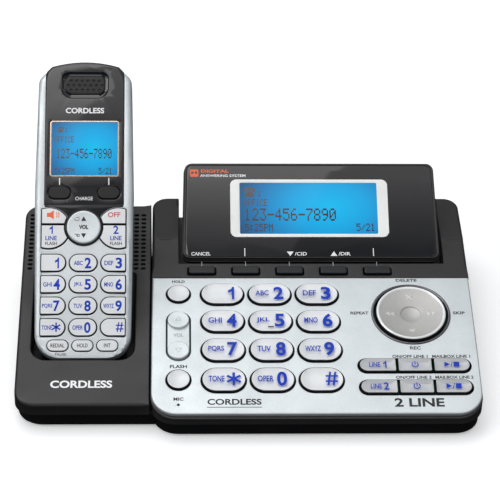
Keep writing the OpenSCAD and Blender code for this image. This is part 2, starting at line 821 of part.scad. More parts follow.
fascia_skirt = 5.6;
module handset_fascia() {
  color(BLACK) on_handset() difference() {
    translate([0, 0, split_w + 0.1]) linear_extrude(-split_w + 0.2) fascia_area();
    translate([0, 0, split_w - 1]) linear_extrude(-split_w + 1 - shell_t) intersection() {
      handset_outline(shell_t);
      translate([-face_half_w + shell_t, 60]) square([2 * (face_half_w - shell_t), 120]);
    }
    translate([0, 0, split_w - 1]) linear_extrude(-split_w + 1 - fascia_skirt) handset_outline(shell_t);
    for (side = [-1, 1]) translate([side * handset_soft_x, handset_soft_v, -5])
      linear_extrude(10) stadium(11.4 + 2 * handset_key_gap, 6.6 + 2 * handset_key_gap);
    translate([0, 0, -1]) linear_extrude(4) translate([-18, 95.2]) square([36, 30.4]);
    for (i = [0:6]) translate([(i - 3) * 3, 145, -5]) cylinder(r = 0.7, h = 10);
    for (i = [0:5], side = [-1, 1]) translate([(i - 2.5) * 3, 145 + side * 2.5, -5]) cylinder(r = 0.7, h = 10);
  }
}

module handset_lcd() {
  color([0.15, 0.6, 0.9]) on_handset() translate([-18.2, 93.5, -5.5]) cube([36.4, 33.5, 3.4]);
}

handset_flange_w = -shell_t - 0.3;
module handset_circuit_board() {
  color([0.1, 0.35, 0.2]) on_handset() {
    translate([0, 0, -7.4]) linear_extrude(1.2) difference() {
      handset_outline(3.4);
      for (side = [-1, 1]) translate([side * 23, 0]) square([1, 1], center = true);
    }
    for (row = [0:3], x = [-15, 0, 15]) translate([x, row_v - row * row_pitch, -6.5]) cylinder(r = 2.5, h = 2);
  }
}

module handset_key(rise) {
  translate([0, 0, handset_flange_w]) linear_extrude(rise - handset_flange_w) children(0);
}

module handset_row(row) {
  color(KEY_GREY) on_handset() {
    translate([0, row_v - row * row_pitch, 0]) {
      for (column = [0:2]) handset_key(0.9) pad_key(column, 0);
      translate([-pad_half_w + 0.6, -3.4, handset_flange_w - 0.7]) cube([2 * pad_half_w - 1.2, 6.8, 0.85]);
    }
  }
}

module handset_keys_123() handset_row(0);
module handset_keys_456() handset_row(1);
module handset_keys_789() handset_row(2);
module handset_keys_star_0_pound() handset_row(3);

module handset_keys_bottom() {
  color(KEY_GREY) on_handset() translate([0, bottom_key_v, 0]) {
    for (i = [-1:1]) translate([i * bottom_key_pitch, 0, 0]) handset_key(0.8) stadium(bottom_key_w, bottom_key_h);
    translate([-bottom_key_pitch, -1.6, handset_flange_w - 0.7]) cube([2 * bottom_key_pitch, 3.2, 0.85]);
  }
}

module handset_nav_key() {
  color(KEY_GREY) on_handset() translate([0, nav_v, -2.9]) cylinder(r = nav_r, h = 4.1);
}

module handset_soft(side) {
  color(BLACK) on_handset() translate([side * handset_soft_x, handset_soft_v, 0])
    handset_key(0.9) stadium(11.4, 6.6);
}

module handset_soft_left() handset_soft(-1);
module handset_soft_right() handset_soft(1);

module block_key(side, upper) {
  color(KEY_GREY) on_handset() handset_key(0.9) nav_block(side, upper, 0);
}

module handset_speaker_key() block_key(-1, true);
module handset_line_1_key() block_key(-1, false);
module handset_off_key() block_key(1, true);
module handset_line_2_key() block_key(1, false);

base_lower_housing();
cradle_cover();
console_frame();
faceplate();
rubber_feet();
base_circuit_board();
speaker();
rear_jacks();
charge_contacts();
housing_screws();
key_1();
key_2();
key_3();
key_4();
key_5();
key_6();
key_7();
key_8();
key_9();
key_star();
key_0();
key_pound();
key_hold();
key_flash();
volume_rocker();
message_dial();
line_1_key();
on_off_1_key();
play_1_key();
line_2_key();
on_off_2_key();
play_2_key();
soft_key_1();
soft_key_2();
soft_key_3();
soft_key_4();
soft_key_5();
display_rear_shell();
display_bezel();
display_window();
display_lcd();
handset_front_shell();
handset_fascia();
handset_back_shell();
handset_lcd();
handset_battery_pack();
handset_circuit_board();
handset_battery_door();
handset_nav_key();
handset_soft_left();
handset_soft_right();
handset_speaker_key();
handset_off_key();
handset_line_1_key();
handset_line_2_key();
handset_keys_123();
handset_keys_456();
handset_keys_789();
handset_keys_star_0_pound();
handset_keys_bottom();
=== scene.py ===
# Looks of a two-line cordless telephone: its base with a tilting display, its charging cradle and its
# handset. Lengths are worked in millimetres and written to the meshes in metres.
import math
import bmesh
import bpy
import numpy as np
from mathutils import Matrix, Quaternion, Vector
from mathutils.geometry import delaunay_2d_cdt


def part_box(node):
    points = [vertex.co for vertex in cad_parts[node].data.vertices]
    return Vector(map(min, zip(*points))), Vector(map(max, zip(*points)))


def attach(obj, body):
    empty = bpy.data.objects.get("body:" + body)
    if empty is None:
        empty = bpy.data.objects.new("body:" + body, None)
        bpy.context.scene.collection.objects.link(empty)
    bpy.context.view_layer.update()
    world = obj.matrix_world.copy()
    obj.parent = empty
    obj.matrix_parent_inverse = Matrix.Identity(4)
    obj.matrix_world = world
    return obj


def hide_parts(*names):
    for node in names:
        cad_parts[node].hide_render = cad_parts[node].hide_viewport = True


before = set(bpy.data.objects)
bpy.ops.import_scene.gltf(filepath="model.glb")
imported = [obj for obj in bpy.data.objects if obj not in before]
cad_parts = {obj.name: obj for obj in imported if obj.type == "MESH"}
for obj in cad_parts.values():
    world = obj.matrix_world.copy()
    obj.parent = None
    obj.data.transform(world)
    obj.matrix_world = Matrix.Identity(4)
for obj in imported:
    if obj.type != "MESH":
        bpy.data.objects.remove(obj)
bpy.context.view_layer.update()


def box(node):
    lo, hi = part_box(node)
    return np.array(lo) * 1000, np.array(hi) * 1000


def mid(node):
    lo, hi = box(node)
    return (lo + hi) / 2


# ---------- the frame's places ----------
console_lo, console_hi = box("console_frame")
cradle_lo, cradle_hi = box("cradle_cover")
front_y, back_y = console_lo[1], console_hi[1]
console_x, right_x = console_lo[0], console_hi[0]
split_z = 9.0
front_h, front_slope, crown_r, deck_len, plate_t = 15.2, math.radians(15.5), 650.0, 89.3, 2.0
strip_slope, strip_len, shoulder_slope = math.radians(8.6), 27.4, math.radians(2.5)
panel_tilt, lean, cradle_slope = math.radians(30), math.radians(39.6), math.radians(11.6)

crown_y = front_y + 0.9 + crown_r * math.sin(front_slope)
crown_z = front_h - crown_r * math.cos(front_slope)


def deck(x, s, h=0.0):
    a = front_slope - s / crown_r
    return (x, crown_y - (crown_r + h) * math.sin(a), crown_z + (crown_r + h) * math.cos(a))


def deck_s(y):
    return (front_slope - math.asin((crown_y - y) / crown_r)) * crown_r


def deck_place(node):
    """The x and s of a node that stands on the faceplate."""
    c = mid(node)
    a = math.atan2(crown_y - c[1], c[2] - crown_z)
    return c[0], (front_slope - a) * crown_r


def plane(x, y, z, tilt):
    c, s = math.cos(tilt), math.sin(tilt)
    return lambda u, v, h=0.0: (x + u, y + v * c - h * s, z + v * s + h * c)


strip_y, strip_z = deck(0, deck_len)[1:]
shoulder_y = strip_y + strip_len * math.cos(strip_slope)
shoulder_z = strip_z + strip_len * math.sin(strip_slope)
strip = plane(0, strip_y, strip_z, strip_slope)

bezel_lo, bezel_hi = box("display_bezel")
panel_w, panel_len, panel_t, bezel_n = 137.4, 56.5, 10.0, -3.6
panel_x = (bezel_lo[0] + bezel_hi[0]) / 2
panel_y = bezel_lo[1] - 0.4 * math.cos(panel_tilt)
panel_z = bezel_lo[2] - 0.4 * math.sin(panel_tilt) - bezel_n * math.cos(panel_tilt)
panel = plane(panel_x, panel_y, panel_z, panel_tilt)

shell_lo, shell_hi = box("handset_front_shell")
handset_len, handset_w, handset_t, split_w = 158.0, 51.0, 26.0, -10.0
handset_x = (shell_lo[0] + shell_hi[0]) / 2
handset_y = shell_lo[1]
handset_z = shell_lo[2] - (split_w + 0.1) * math.cos(lean)
handset = plane(handset_x, handset_y, handset_z, lean)

left_x, seam_x, cradle_front, cradle_back = cradle_lo[0], cradle_hi[0], cradle_lo[1], cradle_hi[1]
cradle_z = 15.7


def cradle_top(y):
    return cradle_z + (y - cradle_front) * math.tan(cradle_slope)


# ---------- outlines, all counter-clockwise ----------
def clean(points):
    kept = [np.array(points[0], float)]
    for p in points[1:]:
        if np.hypot(*(np.array(p) - kept[-1])) > 1e-3:
            kept.append(np.array(p, float))
    if np.hypot(*(kept[0] - kept[-1])) < 1e-3:
        kept.pop()
    return np.array(kept)


def arc(cx, cy, r, a0, a1, n=8):
    return [(cx + r * math.cos(a), cy + r * math.sin(a)) for a in np.radians(np.linspace(a0, a1, n + 1))]


def rounded(x0, x1, y0, y1, r, n=8):
    """A rectangle; r is one radius, or those of the corners from the front left, counter-clockwise."""
    r = (r,) * 4 if np.isscalar(r) else r
    return clean(arc(x0 + r[0], y0 + r[0], r[0], 180, 270, n) + arc(x1 - r[1], y0 + r[1], r[1], 270, 360, n)
                 + arc(x1 - r[2], y1 - r[2], r[2], 0, 90, n) + arc(x0 + r[3], y1 - r[3], r[3], 90, 180, n))


def centred(w, h, r, x=0.0, y=0.0, n=8):
    return rounded(x - w / 2, x + w / 2, y - h / 2, y + h / 2, r, n)


def stadium(w, h, x=0.0, y=0.0, n=10):
    return centred(w, h, min(w, h) / 2, x, y, n)


def circle(r, x=0.0, y=0.0, n=32):
    return np.array(arc(x, y, r, 0, 360 * (n - 1) / n, n - 1))


def fine(loop, step):
    """The same loop with no side longer than step."""
    out = []
    for a, b in zip(loop, np.roll(loop, -1, 0)):
        k = max(1, math.ceil(np.hypot(*(b - a)) / step - 1e-6))
        out += [a + (b - a) * i / k for i in range(k)]
    return np.array(out)


def offset(loop, d):
    """Moves a loop inwards by d, which is one number or one for each point."""
    p = np.asarray(loop, float)
    a, b = p - np.roll(p, 1, 0), np.roll(p, -1, 0) - p
    na = np.stack([-a[:, 1], a[:, 0]], 1) / np.hypot(*a.T)[:, None]
    nb = np.stack([-b[:, 1], b[:, 0]], 1) / np.hypot(*b.T)[:, None]
    m = (na + nb) / (1 + (na * nb).sum(1)).clip(0.15)[:, None]
    return p + m * np.reshape(np.broadcast_to(d, len(p)), (-1, 1))


def inside(points, loop):
    x, y = points[:, 0][:, None], points[:, 1][:, None]
    a, b = loop, np.roll(loop, -1, 0)
    cross = ((a[:, 1] > y) != (b[:, 1] > y)) & (
        x < (b[:, 0] - a[:, 0]) * (y - a[:, 1]) / np.where(b[:, 1] == a[:, 1], 1,
                                                           b[:, 1] - a[:, 1]) + a[:, 0])
    return cross.sum(1) % 2 == 1


def fillet(r, n=4, h=0.0):
    """(inset, height) rings of a rounded edge, from the top face to the side."""
    return [(r - r * math.sin(a), h - r * (1 - math.cos(a))) for a in np.linspace(0, math.pi / 2, n + 1)]


def smooth(t):
    t = min(1.0, max(0.0, t))
    return t * t * (3 - 2 * t)


# ---------- shapes ----------
class Shape:
    """A mesh under construction, in millimetres. look is the material of the faces that are added next."""

    def __init__(self):
        self.verts, self.faces, self.looks, self.look = [], [], [], 0

    def ring(self, points):
        start = len(self.verts)
        self.verts += [tuple(p) for p in points]
        return list(range(start, len(self.verts)))

    def face(self, ids):
        self.faces.append(ids)
        self.looks.append(self.look)

    def bridge(self, a, b, inward=False):
        for i in range(len(a)):
            j = (i + 1) % len(a)
            self.face((a[i], a[j], b[j], b[i]) if inward else (a[i], b[i], b[j], a[j]))

    def sheet(self, loops, place=None, points=(), under=False):
        """Fills between an outer ring and the rings of its holes; loops holds (ring, flat points)."""
        flat, ids, edges = [], [], []
        for ring, pts in loops:
            base, n = len(flat), len(ring)
            flat += [tuple(p) for p in pts]
            ids += ring
            edges += [(base + i, base + (i + 1) % n) for i in range(n)]
        for p in points:
            ids += self.ring([place(*p)])
            flat.append(tuple(p))
        out = delaunay_2d_cdt([Vector(p) for p in flat], edges, [], 0, 1e-6)
        tris = [tuple(t) for t in out[2]]
        walls, sides = {frozenset(e) for e, source in zip(out[1], out[4]) if source}, {}
        for k, t in enumerate(tris):
            for a, b in zip(t, t[1:] + t[:1]):
                sides.setdefault(frozenset((a, b)), []).append(k)
        spots, seen = np.array([tuple(v) for v in out[0]]), set()
        for first in range(len(tris)):
            if first in seen:
                continue
            seen.add(first)
            region, closed = [first], True
            for k in region:
                t = tris[k]
                for a, b in zip(t, t[1:] + t[:1]):
                    side = frozenset((a, b))
                    if side not in walls:
                        closed &= len(sides[side]) == 2
                        for other in set(sides[side]) - seen:
                            seen.add(other)
                            region.append(other)
            if not closed:
                continue
            p = spots[np.array([tris[k] for k in region])]
            wide = np.abs(np.cross(p[:, 1] - p[:, 0], p[:, 2] - p[:, 0])).argmax()
            centre = p[wide].mean(0)[None]
            if sum(bool(inside(centre, np.asarray(pts, float))[0]) for _, pts in loops) == 1:
                for k in region:
                    source = [out[3][i] for i in (tris[k][::-1] if under else tris[k])]
                    if all(source):
                        self.face(tuple(ids[o[0]] for o in source))

    def slab(self, place, outline, top, foot=(), holes=(), step=0, lift=None, soft=None, rows=(),
             looks=(0, 0, 0),
             well=None):
        """A plate. top and foot are (inset, height) rings from the top face down to the underside, and a
        height of None is the base. holes are (loop, rings, floor), whose rings widen with inset; floor is
        True for a blind hole, or the points of its own bottom. step is the spacing of the points within the
        top face, rows their places along v, lift(u, v) raises the face, and soft scales the top's rings at
        each point of the outline. looks are the materials of the top, the side and the underside, and well
        that of the walls of the holes."""
        outline = np.asarray(outline, float)
        k = np.ones(len(outline)) if soft is None else np.array([soft(*p) for p in outline])
        up = lift or (lambda u, v: 0.0)
        loops, last = [], None
        self.look = looks[0]
        for i, (inset, h) in enumerate(list(top) + list(foot)):
            raised = i < len(top)
            pts = offset(outline, inset * k if raised else inset)
            z = [None if h is None else (h * kk + up(*p) if raised else h) for p, kk in zip(pts, k)]
            ring = self.ring([place(p[0], p[1], q) for p, q in zip(pts, z)])
            if last is not None:
                self.bridge(last, ring)
            else:
                loops.append((ring, pts))
            if i == len(top) - 1:
                self.look = looks[1]
            last, last_pts = ring, pts
        under = [(last, last_pts)]
        for loop, rings, floor in holes:
            self.look, before = looks[0], None
            for i, (inset, h) in enumerate(rings):
                pts = offset(loop, -inset)
                ring = self.ring([place(p[0], p[1],
                                        None if h is None else h + (up(*p) if i < 3 else 0)) for p in pts])
                if before is None:
                    loops.append((ring, pts))
                else:
                    self.bridge(before, ring, True)
                if i == 1:
                    self.look = looks[1] if well is None else well
                before, before_pts = ring, pts
            if floor is True:
                self.sheet([(before, before_pts)])
            elif floor is not False:
                bottom = self.ring(floor)
                self.bridge(before, bottom, True)
                self.sheet([(bottom, np.asarray(floor)[:, :2])])
            else:
                under.append((before, before_pts))
        points = []
        if step:
            lo, hi = outline.min(0), outline.max(0)
            us = np.arange(lo[0] + step / 2, hi[0], step)
            vs = list(rows) if len(rows) else np.arange(lo[1] + step / 2, hi[1], step)
            grid = np.array([(u, v) for v in vs for u in us])
            ok = inside(grid, offset(loops[0][1], step * 0.35))
            for _, pts in loops[1:]:
                ok &= ~inside(grid, offset(pts, -step * 0.35))
            points = grid[ok]
        self.look = looks[0]
        self.sheet(loops, lambda u, v: place(u, v, up(u, v)), points)
        self.look = looks[2]
        self.sheet(under, under=True)
        return self

    def lathe(self, place, profile, n=48, looks=None):
        """Turns a profile of (radius, height) round the place's origin; a radius of 0 closes it."""
        last = None
        for i, (r, h) in enumerate(profile):
            if looks:
                self.look = looks[i]
            if r < 1e-6:
                ring = self.ring([place(0, 0, h)]) * n
            else:
                ring = self.ring([place(x, y, h) for x, y in circle(r, n=n)])
            if last is not None:
                for k in range(n):
                    j = (k + 1) % n
                    ids = [last[k], ring[k], ring[j], last[j]]
                    self.face(tuple(dict.fromkeys(ids)))
            last = ring
        return self

    def piece(self, name, body, looks, slot=None, replaces=(), sharp=38):
        mesh = bpy.data.meshes.new(name)
        mesh.from_pydata([(x / 1000, y / 1000, z / 1000) for x, y, z in self.verts], [], self.faces)
        for look in looks if isinstance(looks, (list, tuple)) else [looks]:
            mesh.materials.append(look)
        mesh.polygons.foreach_set("material_index", self.looks)
        work = bmesh.new()
        work.from_mesh(mesh)
        bmesh.ops.remove_doubles(work, verts=work.verts, dist=1e-6)
        if all(len(e.link_faces) == 2 for e in work.edges):
            bmesh.ops.recalc_face_normals(work, faces=work.faces)
        work.to_mesh(mesh)
        work.free()
        mesh.shade_smooth()
        mesh.set_sharp_from_angle(angle=math.radians(sharp))
        piece = bpy.data.objects.new(name, mesh)
        bpy.context.scene.collection.objects.link(piece)
        even = piece.modifiers.new("even_shading", "WEIGHTED_NORMAL")
        even.keep_sharp = True
        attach(piece, body)
        if replaces:
            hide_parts(*replaces)
        return piece


def at(place, u, v, turn=0.0):
    """The same surface with its origin moved to u, v, and turned."""
    c, s = math.cos(math.radians(turn)), math.sin(math.radians(turn))
    return lambda a, b, h=0.0: place(u + a * c - b * s, v + a * s + b * c, h)


# ---------- materials ----------
def material(name, colour, rough=0.4, metallic=0.0, grain=0.35, bump=0.1, tone=0.05, edge_lighten=0.0, coat=0.0,
             speck=0.0, emission=0.0, ior=1.5):
    """A moulded or painted finish. grain is the size of its fine texture in millimetres, tone how far the
    colour wanders, edge_lighten how much sharp convex edges are lightened, and speck the contrast of a
    paint's flakes."""
    mat = bpy.data.materials.new(name)
    mat.use_nodes = True
    nodes, links = mat.node_tree.nodes, mat.node_tree.links
    shader = nodes["Principled BSDF"]
    shader.inputs["Metallic"].default_value = metallic
    shader.inputs["IOR"].default_value = ior
    shader.inputs["Coat Weight"].default_value = coat
    shader.inputs["Coat Roughness"].default_value = 0.04
    place = nodes.new("ShaderNodeTexCoord")

    def noise(size, detail=3.0, rough_=0.55):
        node = nodes.new("ShaderNodeTexNoise")
        node.inputs["Scale"].default_value = 1000 / size
        node.inputs["Detail"].default_value = detail
        node.inputs["Roughness"].default_value = rough_
        links.new(place.outputs["Object"], node.inputs["Vector"])
        return node.outputs["Fac"]

    def ramp(source, lo, hi, a, b):
        node = nodes.new("ShaderNodeMapRange")
        node.inputs["From Min"].default_value, node.inputs["From Max"].default_value = lo, hi
        node.inputs["To Min"].default_value, node.inputs["To Max"].default_value = a, b
        links.new(source, node.inputs["Value"])
        return node.outputs["Result"]

    def mix(factor, a, b):
        node = nodes.new("ShaderNodeMix")
        node.data_type = "RGBA"
        links.new(factor, node.inputs["Factor"])
        for socket, value in ((node.inputs["A"], a), (node.inputs["B"], b)):
            if isinstance(value, bpy.types.NodeSocket):
                links.new(value, socket)
            else:
                socket.default_value = (*value, 1)
        return node.outputs["Result"]

    base = np.array(colour, float)
    lighter, darker = np.minimum(base * (1 + tone), 1), base * (1 - tone)
    out = mix(ramp(noise(14, 4), 0.3, 0.7, 0, 1), darker, lighter)
    if speck:
        flakes = ramp(noise(grain * 1.6, 2, 0.8), 0.35, 0.65, 0, 1)
        node = nodes.new("ShaderNodeMix")
        node.data_type, node.blend_type = "RGBA", "MULTIPLY"
        node.inputs["Factor"].default_value = 1
        links.new(out, node.inputs["A"])
        links.new(mix(flakes, (1 - speck,) * 3, (1 + speck,) * 3), node.inputs["B"])
        out = node.outputs["Result"]
    # Lightens the colour on sharp convex edges, where the surface's pointiness is high.
    if edge_lighten:
        shape = nodes.new("ShaderNodeNewGeometry")
        out = mix(ramp(shape.outputs["Pointiness"], 0.52, 0.62, 0, edge_lighten), out,
                  np.minimum(base * 1.6 + 0.05, 1))
    links.new(out, shader.inputs["Base Color"])
    links.new(ramp(noise(22, 5), 0.3, 0.7, max(rough * 0.82, 0.02), min(rough * 1.2, 1)),
              shader.inputs["Roughness"])
    if bump:
        node = nodes.new("ShaderNodeBump")
        node.inputs["Strength"].default_value = bump
        node.inputs["Distance"].default_value = 0.00008
        links.new(noise(grain), node.inputs["Height"])
        links.new(node.outputs["Normal"], shader.inputs["Normal"])
    if emission:
        links.new(out, shader.inputs["Emission Color"])
        shader.inputs["Emission Strength"].default_value = emission
    return mat


CHARCOAL = material("charcoal_plastic", (0.015, 0.0145, 0.0155), 0.42, grain=0.5, bump=0.35, edge_lighten=0.25,
                    ior=1.4)
BLACK = material("black_plastic", (0.006, 0.006, 0.007), 0.38, grain=0.5, bump=0.3, edge_lighten=0.2, ior=1.35)
GLOSS = material("gloss_black", (0.008, 0.009, 0.012), 0.035, grain=3.0, bump=0.012)
SILVER = material("silver_paint", (0.55, 0.592, 0.612), 0.42, metallic=0.40, grain=0.28, bump=0.12,
                  speck=0.07,
                  edge_lighten=0.15)
KEY = material("key_plastic", (0.77, 0.785, 0.80), 0.38, grain=0.5, bump=0.08, coat=0.15)
# Near-black look for key sides, the outer edge rings of keys and the walls of openings: painted shade in the
# gaps.
KEY_SHADE = material("key_side", (0.010, 0.010, 0.012), 0.45, grain=0.5, bump=0.1)
LINE_KEY = material("line_key_plastic", (0.52, 0.53, 0.545), 0.36, grain=0.5, bump=0.08, coat=0.1)
DIAL = material("dial_plastic", (0.40, 0.395, 0.385), 0.42, metallic=0.35, grain=0.35, bump=0.15,
                speck=0.05)
DIAL_RIM = material("dial_rim", (0.82, 0.83, 0.84), 0.25, metallic=0.2, grain=0.5, bump=0.04, coat=0.3)
CHROME_DARK = material("dark_trim", (0.10, 0.10, 0.11), 0.18, metallic=0.9, grain=1.0, bump=0.03)
WHITE = material("frame_white", (0.86, 0.87, 0.85), 0.3, grain=0.6, bump=0.03, coat=0.5)
BRONZE = material("window_trim", (0.55, 0.42, 0.34), 0.25, metallic=0.7, grain=0.6, bump=0.03)
RUBBER = material("rubber", (0.02, 0.02, 0.021), 0.75, grain=0.4, bump=0.4)
BOARD = material("solder_mask", (0.02, 0.14, 0.07), 0.3, grain=0.6, bump=0.1)
CONE = material("speaker_cone", (0.03, 0.03, 0.034), 0.6, grain=0.5, bump=0.3)
JACK = material("jack_plastic", (0.016, 0.016, 0.018), 0.25, grain=0.8, bump=0.05)
BRASS = material("contact_plating", (0.82, 0.66, 0.36), 0.22, metallic=1.0, grain=0.5, bump=0.05)
STEEL = material("screw_zinc", (0.55, 0.56, 0.58), 0.3, metallic=1.0, grain=0.3, bump=0.1)
WRAP = material("battery_wrap", (0.05, 0.12, 0.38), 0.25, grain=1.2, bump=0.05)
INK_BLACK = material("ink_black", (0.006, 0.006, 0.007), 0.6, grain=0.6, bump=0.03)
INK_BLUE = material("ink_blue", (0.001, 0.038, 0.46), 0.6, grain=0.6, bump=0.03, ior=1.3)
INK_WHITE = material("ink_white", (0.86, 0.87, 0.88), 0.4, grain=0.6, bump=0.03)
INK_ORANGE = material("ink_orange", (0.85, 0.12, 0.02), 0.4, grain=0.6, bump=0.03)
INK_RED = material("ink_red", (0.62, 0.012, 0.015), 0.4, grain=0.6, bump=0.03)
INK_PIXEL = material("lcd_pixel", (0.020, 0.008, 0.014), 0.08, grain=2.0, bump=0.01, coat=0.6)
DIAL_MARK = material("dial_mark", (0.56, 0.555, 0.545), 0.35, metallic=0.2, grain=0.4, bump=0.08)
RELIEF = material("relief_mark", (0.34, 0.34, 0.345), 0.4, metallic=0.3, grain=0.5, bump=0.05)


def lcd_material(name, centre, half):
    """A blue backlight, brightest at centre and dimmer out to half, both in metres."""
    mat = material(name, (0.02, 0.30, 0.80), 0.05, grain=2.0, bump=0.01, ior=1.25)
    nodes, links = mat.node_tree.nodes, mat.node_tree.links
    shader = nodes["Principled BSDF"]
    place = nodes.new("ShaderNodeTexCoord")
    shift = nodes.new("ShaderNodeMapping")
    shift.inputs["Location"].default_value = [-c / h for c, h in zip(centre, half)]
    shift.inputs["Scale"].default_value = [1 / h for h in half]
    links.new(place.outputs["Object"], shift.inputs["Vector"])
    ball = nodes.new("ShaderNodeTexGradient")
    ball.gradient_type = "SPHERICAL"
    links.new(shift.outputs["Vector"], ball.inputs["Vector"])
    ramp = nodes.new("ShaderNodeValToRGB")
    stops = [(0.0, (0.020, 0.085, 0.19)), (0.25, (0.016, 0.20, 0.48)), (0.6, (0.010, 0.40, 0.80)),
             (1.0, (0.008, 0.54, 0.95))]
    ramp.color_ramp.elements[0].color, ramp.color_ramp.elements[0].position = (*stops[0][1], 1), stops[0][0]
    ramp.color_ramp.elements[1].color = (*stops[-1][1], 1)
    ramp.color_ramp.elements[1].position = stops[-1][0]
    for position, colour in stops[1:-1]:
        ramp.color_ramp.elements.new(position).color = (*colour, 1)
    links.new(ball.outputs["Fac"], ramp.inputs["Fac"])
    links.new(ramp.outputs["Color"], shader.inputs["Emission Color"])
    for link in list(shader.inputs["Base Color"].links):
        links.remove(link)
    shader.inputs["Base Color"].default_value = (0.004, 0.02, 0.04, 1)
    shader.inputs["Emission Strength"].default_value = 0.9
    return mat


# ---------- printing ----------
def glyphs(words, bold=0.0):
    """The flat mesh of some words: its points, scaled to a box of 1 by 1 round the origin, and its faces."""
    curve = bpy.data.curves.new("words", "FONT")
    curve.body, curve.offset, curve.resolution_u = words, bold, 4
    holder = bpy.data.objects.new("words", curve)
    mesh = bpy.data.meshes.new_from_object(holder)
    points = np.array([v.co[:2] for v in mesh.vertices])
    faces = [tuple(p.vertices) for p in mesh.polygons]
    bpy.data.objects.remove(holder)
    bpy.data.curves.remove(curve)
    bpy.data.meshes.remove(mesh)
    size = points.max(0) - points.min(0)
    return (points - (points.max(0) + points.min(0)) / 2) / size, faces, size


ONE = np.array([(0.12, -0.5), (0.5, -0.5), (0.5, 0.5), (0.22, 0.5), (0.05, 0.33), (-0.5, 0.22),
                (-0.5, 0.02), (0.12, 0.12)])


class Print(Shape):
    """Flat marks laid just above a surface."""

    def words(self, place, text, u, v, w, h, lift, bold=0.0):
        """Text in a box w wide and h high, centred on u, v. A w of 0 keeps the letters' own shape."""
        points, faces, size = glyphs(text, bold)
        w = w or h * size[0] / size[1]
        ids = self.ring([place(u + p[0] * w, v + p[1] * h, lift) for p in points])
        for f in faces:
            self.face(tuple(ids[i] for i in f))

    def digit(self, place, text, u, v, w, h, lift, bold=0.0):
        if text == "1":
            self.shape(place, ONE * (w * 0.62, h) + (u, v), lift)
        else:
            self.words(place, text, u, v, w, h, lift, bold)

    def shape(self, place, loop, lift, holes=()):
        ring = self.ring([place(u, v, lift) for u, v in loop])
        loops = [(ring, loop)]
        for hole in holes:
            loops.append((self.ring([place(u, v, lift) for u, v in hole]), hole))
        self.sheet(loops)

    def line(self, place, points, width, lift):
        """A stroke along points."""
        p = np.asarray(points, float)
        d = np.gradient(p, axis=0)
        n = np.stack([-d[:, 1], d[:, 0]], 1) / np.hypot(*d.T)[:, None] * width / 2
        left = self.ring([place(u, v, lift) for u, v in p + n])
        right = self.ring([place(u, v, lift) for u, v in p - n])
        for i in range(len(p) - 1):
            self.face((right[i], right[i + 1], left[i + 1], left[i]))

    def marks(self, name, body, look):
        """Makes the piece with its faces turned outwards, as they were laid."""
        mesh = bpy.data.meshes.new(name)
        mesh.from_pydata([(x / 1000, y / 1000, z / 1000) for x, y, z in self.verts], [], self.faces)
        mesh.materials.append(look)
        piece = bpy.data.objects.new(name, mesh)
        bpy.context.scene.collection.objects.link(piece)
        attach(piece, body)
        return piece


DOTS = {"0": "0E11131519110E", "1": "040C040404040E", "2": "0E11010204081F", "3": "1F02040201110E",
        "4": "02060A121F0202", "5": "1F101E0101110E", "6": "0608101E11110E", "7": "1F010204080808",
        "8": "0E11110E11110E", "9": "0E11110F01020C", "-": "0000001F000000", ":": "000C0C000C0C00",
        "/": "00010204081000", "P": "1E11111E101010", "M": "111B1515111111", "O": "0E11111111110E",
        "F": "1F10101E101010", "I": "0E04040404040E", "C": "0E11101010110E", "E": "1F10101E10101F",
        " ": "0" * 14}


def dots(sheet, place, text, u, v, w, h, lift, pitch=6):
    """Dot-matrix text from its lower left corner, w wide and h high."""
    cell = w / (pitch * len(text) - 1)
    row_h = h / 7
    for k, letter in enumerate(text):
        rows = [int(DOTS[letter][i * 2:i * 2 + 2], 16) for i in range(7)]
        for j, bits in enumerate(rows):
            for i in range(5):
                if bits >> (4 - i) & 1:
                    x, y = u + (pitch * k + i) * cell, v + (6 - j) * row_h
                    sheet.face(sheet.ring([place(x, y, lift), place(x + cell * 1.04, y, lift),
                                           place(x + cell * 1.04, y + row_h * 1.04, lift),
                                           place(x, y + row_h * 1.04, lift)]))


# ---------- CAD nodes whose shape is right ----------
def finish_node(node, look, bevel=0.0):
    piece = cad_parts[node]
    piece.data.materials.clear()
    piece.data.materials.append(look)
    weld = piece.modifiers.new("weld", "WELD")
    weld.merge_threshold = 0.00001
    if bevel:
        round_off = piece.modifiers.new("rounded_edges", "BEVEL")
        round_off.width, round_off.segments = bevel / 1000, 2
        round_off.limit_method, round_off.angle_limit = "ANGLE", math.radians(40)
        round_off.harden_normals = False
    even = piece.modifiers.new("even_shading", "WEIGHTED_NORMAL")
    even.keep_sharp = True


for node, look, slot, bevel in (
        ("base_lower_housing", BLACK, "black_plastic", 0.5), ("rubber_feet", RUBBER, "rubber", 0.3),
        ("base_circuit_board", BOARD, "circuit_board", 0.1), ("speaker", CONE, "speaker_cone", 0.2),
        ("rear_jacks", JACK, "jack_plastic", 0.25), ("charge_contacts", BRASS, "contact_metal", 0.2),
        ("housing_screws", STEEL, "screw_steel", 0.12), ("handset_battery_pack", WRAP, "battery_wrap", 0.4),
        ("handset_circuit_board", BOARD, "circuit_board", 0.1)):
    finish_node(node, look, bevel)


# ---------- console ----------
def shoulder_top(x, y):
    """Height of the dark strip, then of the shoulders, which stand a little higher behind a crease."""
    strip_h = strip_z + (y - strip_y) * math.tan(strip_slope)
    if y < shoulder_y:
        return strip_h
    rise = 0.45 * smooth((y - shoulder_y) / 0.5)
    return shoulder_z + rise + (y - shoulder_y) * math.tan(shoulder_slope)


def front_place(x, y, h):
    return (x, y, split_z if h is None else deck(x, deck_s(y))[2] - plate_t - 0.2 + h)


def rear_place(x, y, h):
    return (x, y, split_z if h is None else shoulder_top(x, y) + h)


notch_x0, notch_x1 = panel_x - panel_w / 2 - 1.4, panel_x + panel_w / 2 + 1.4
notch_y, notch_z = panel_y - 1.5, 26.0

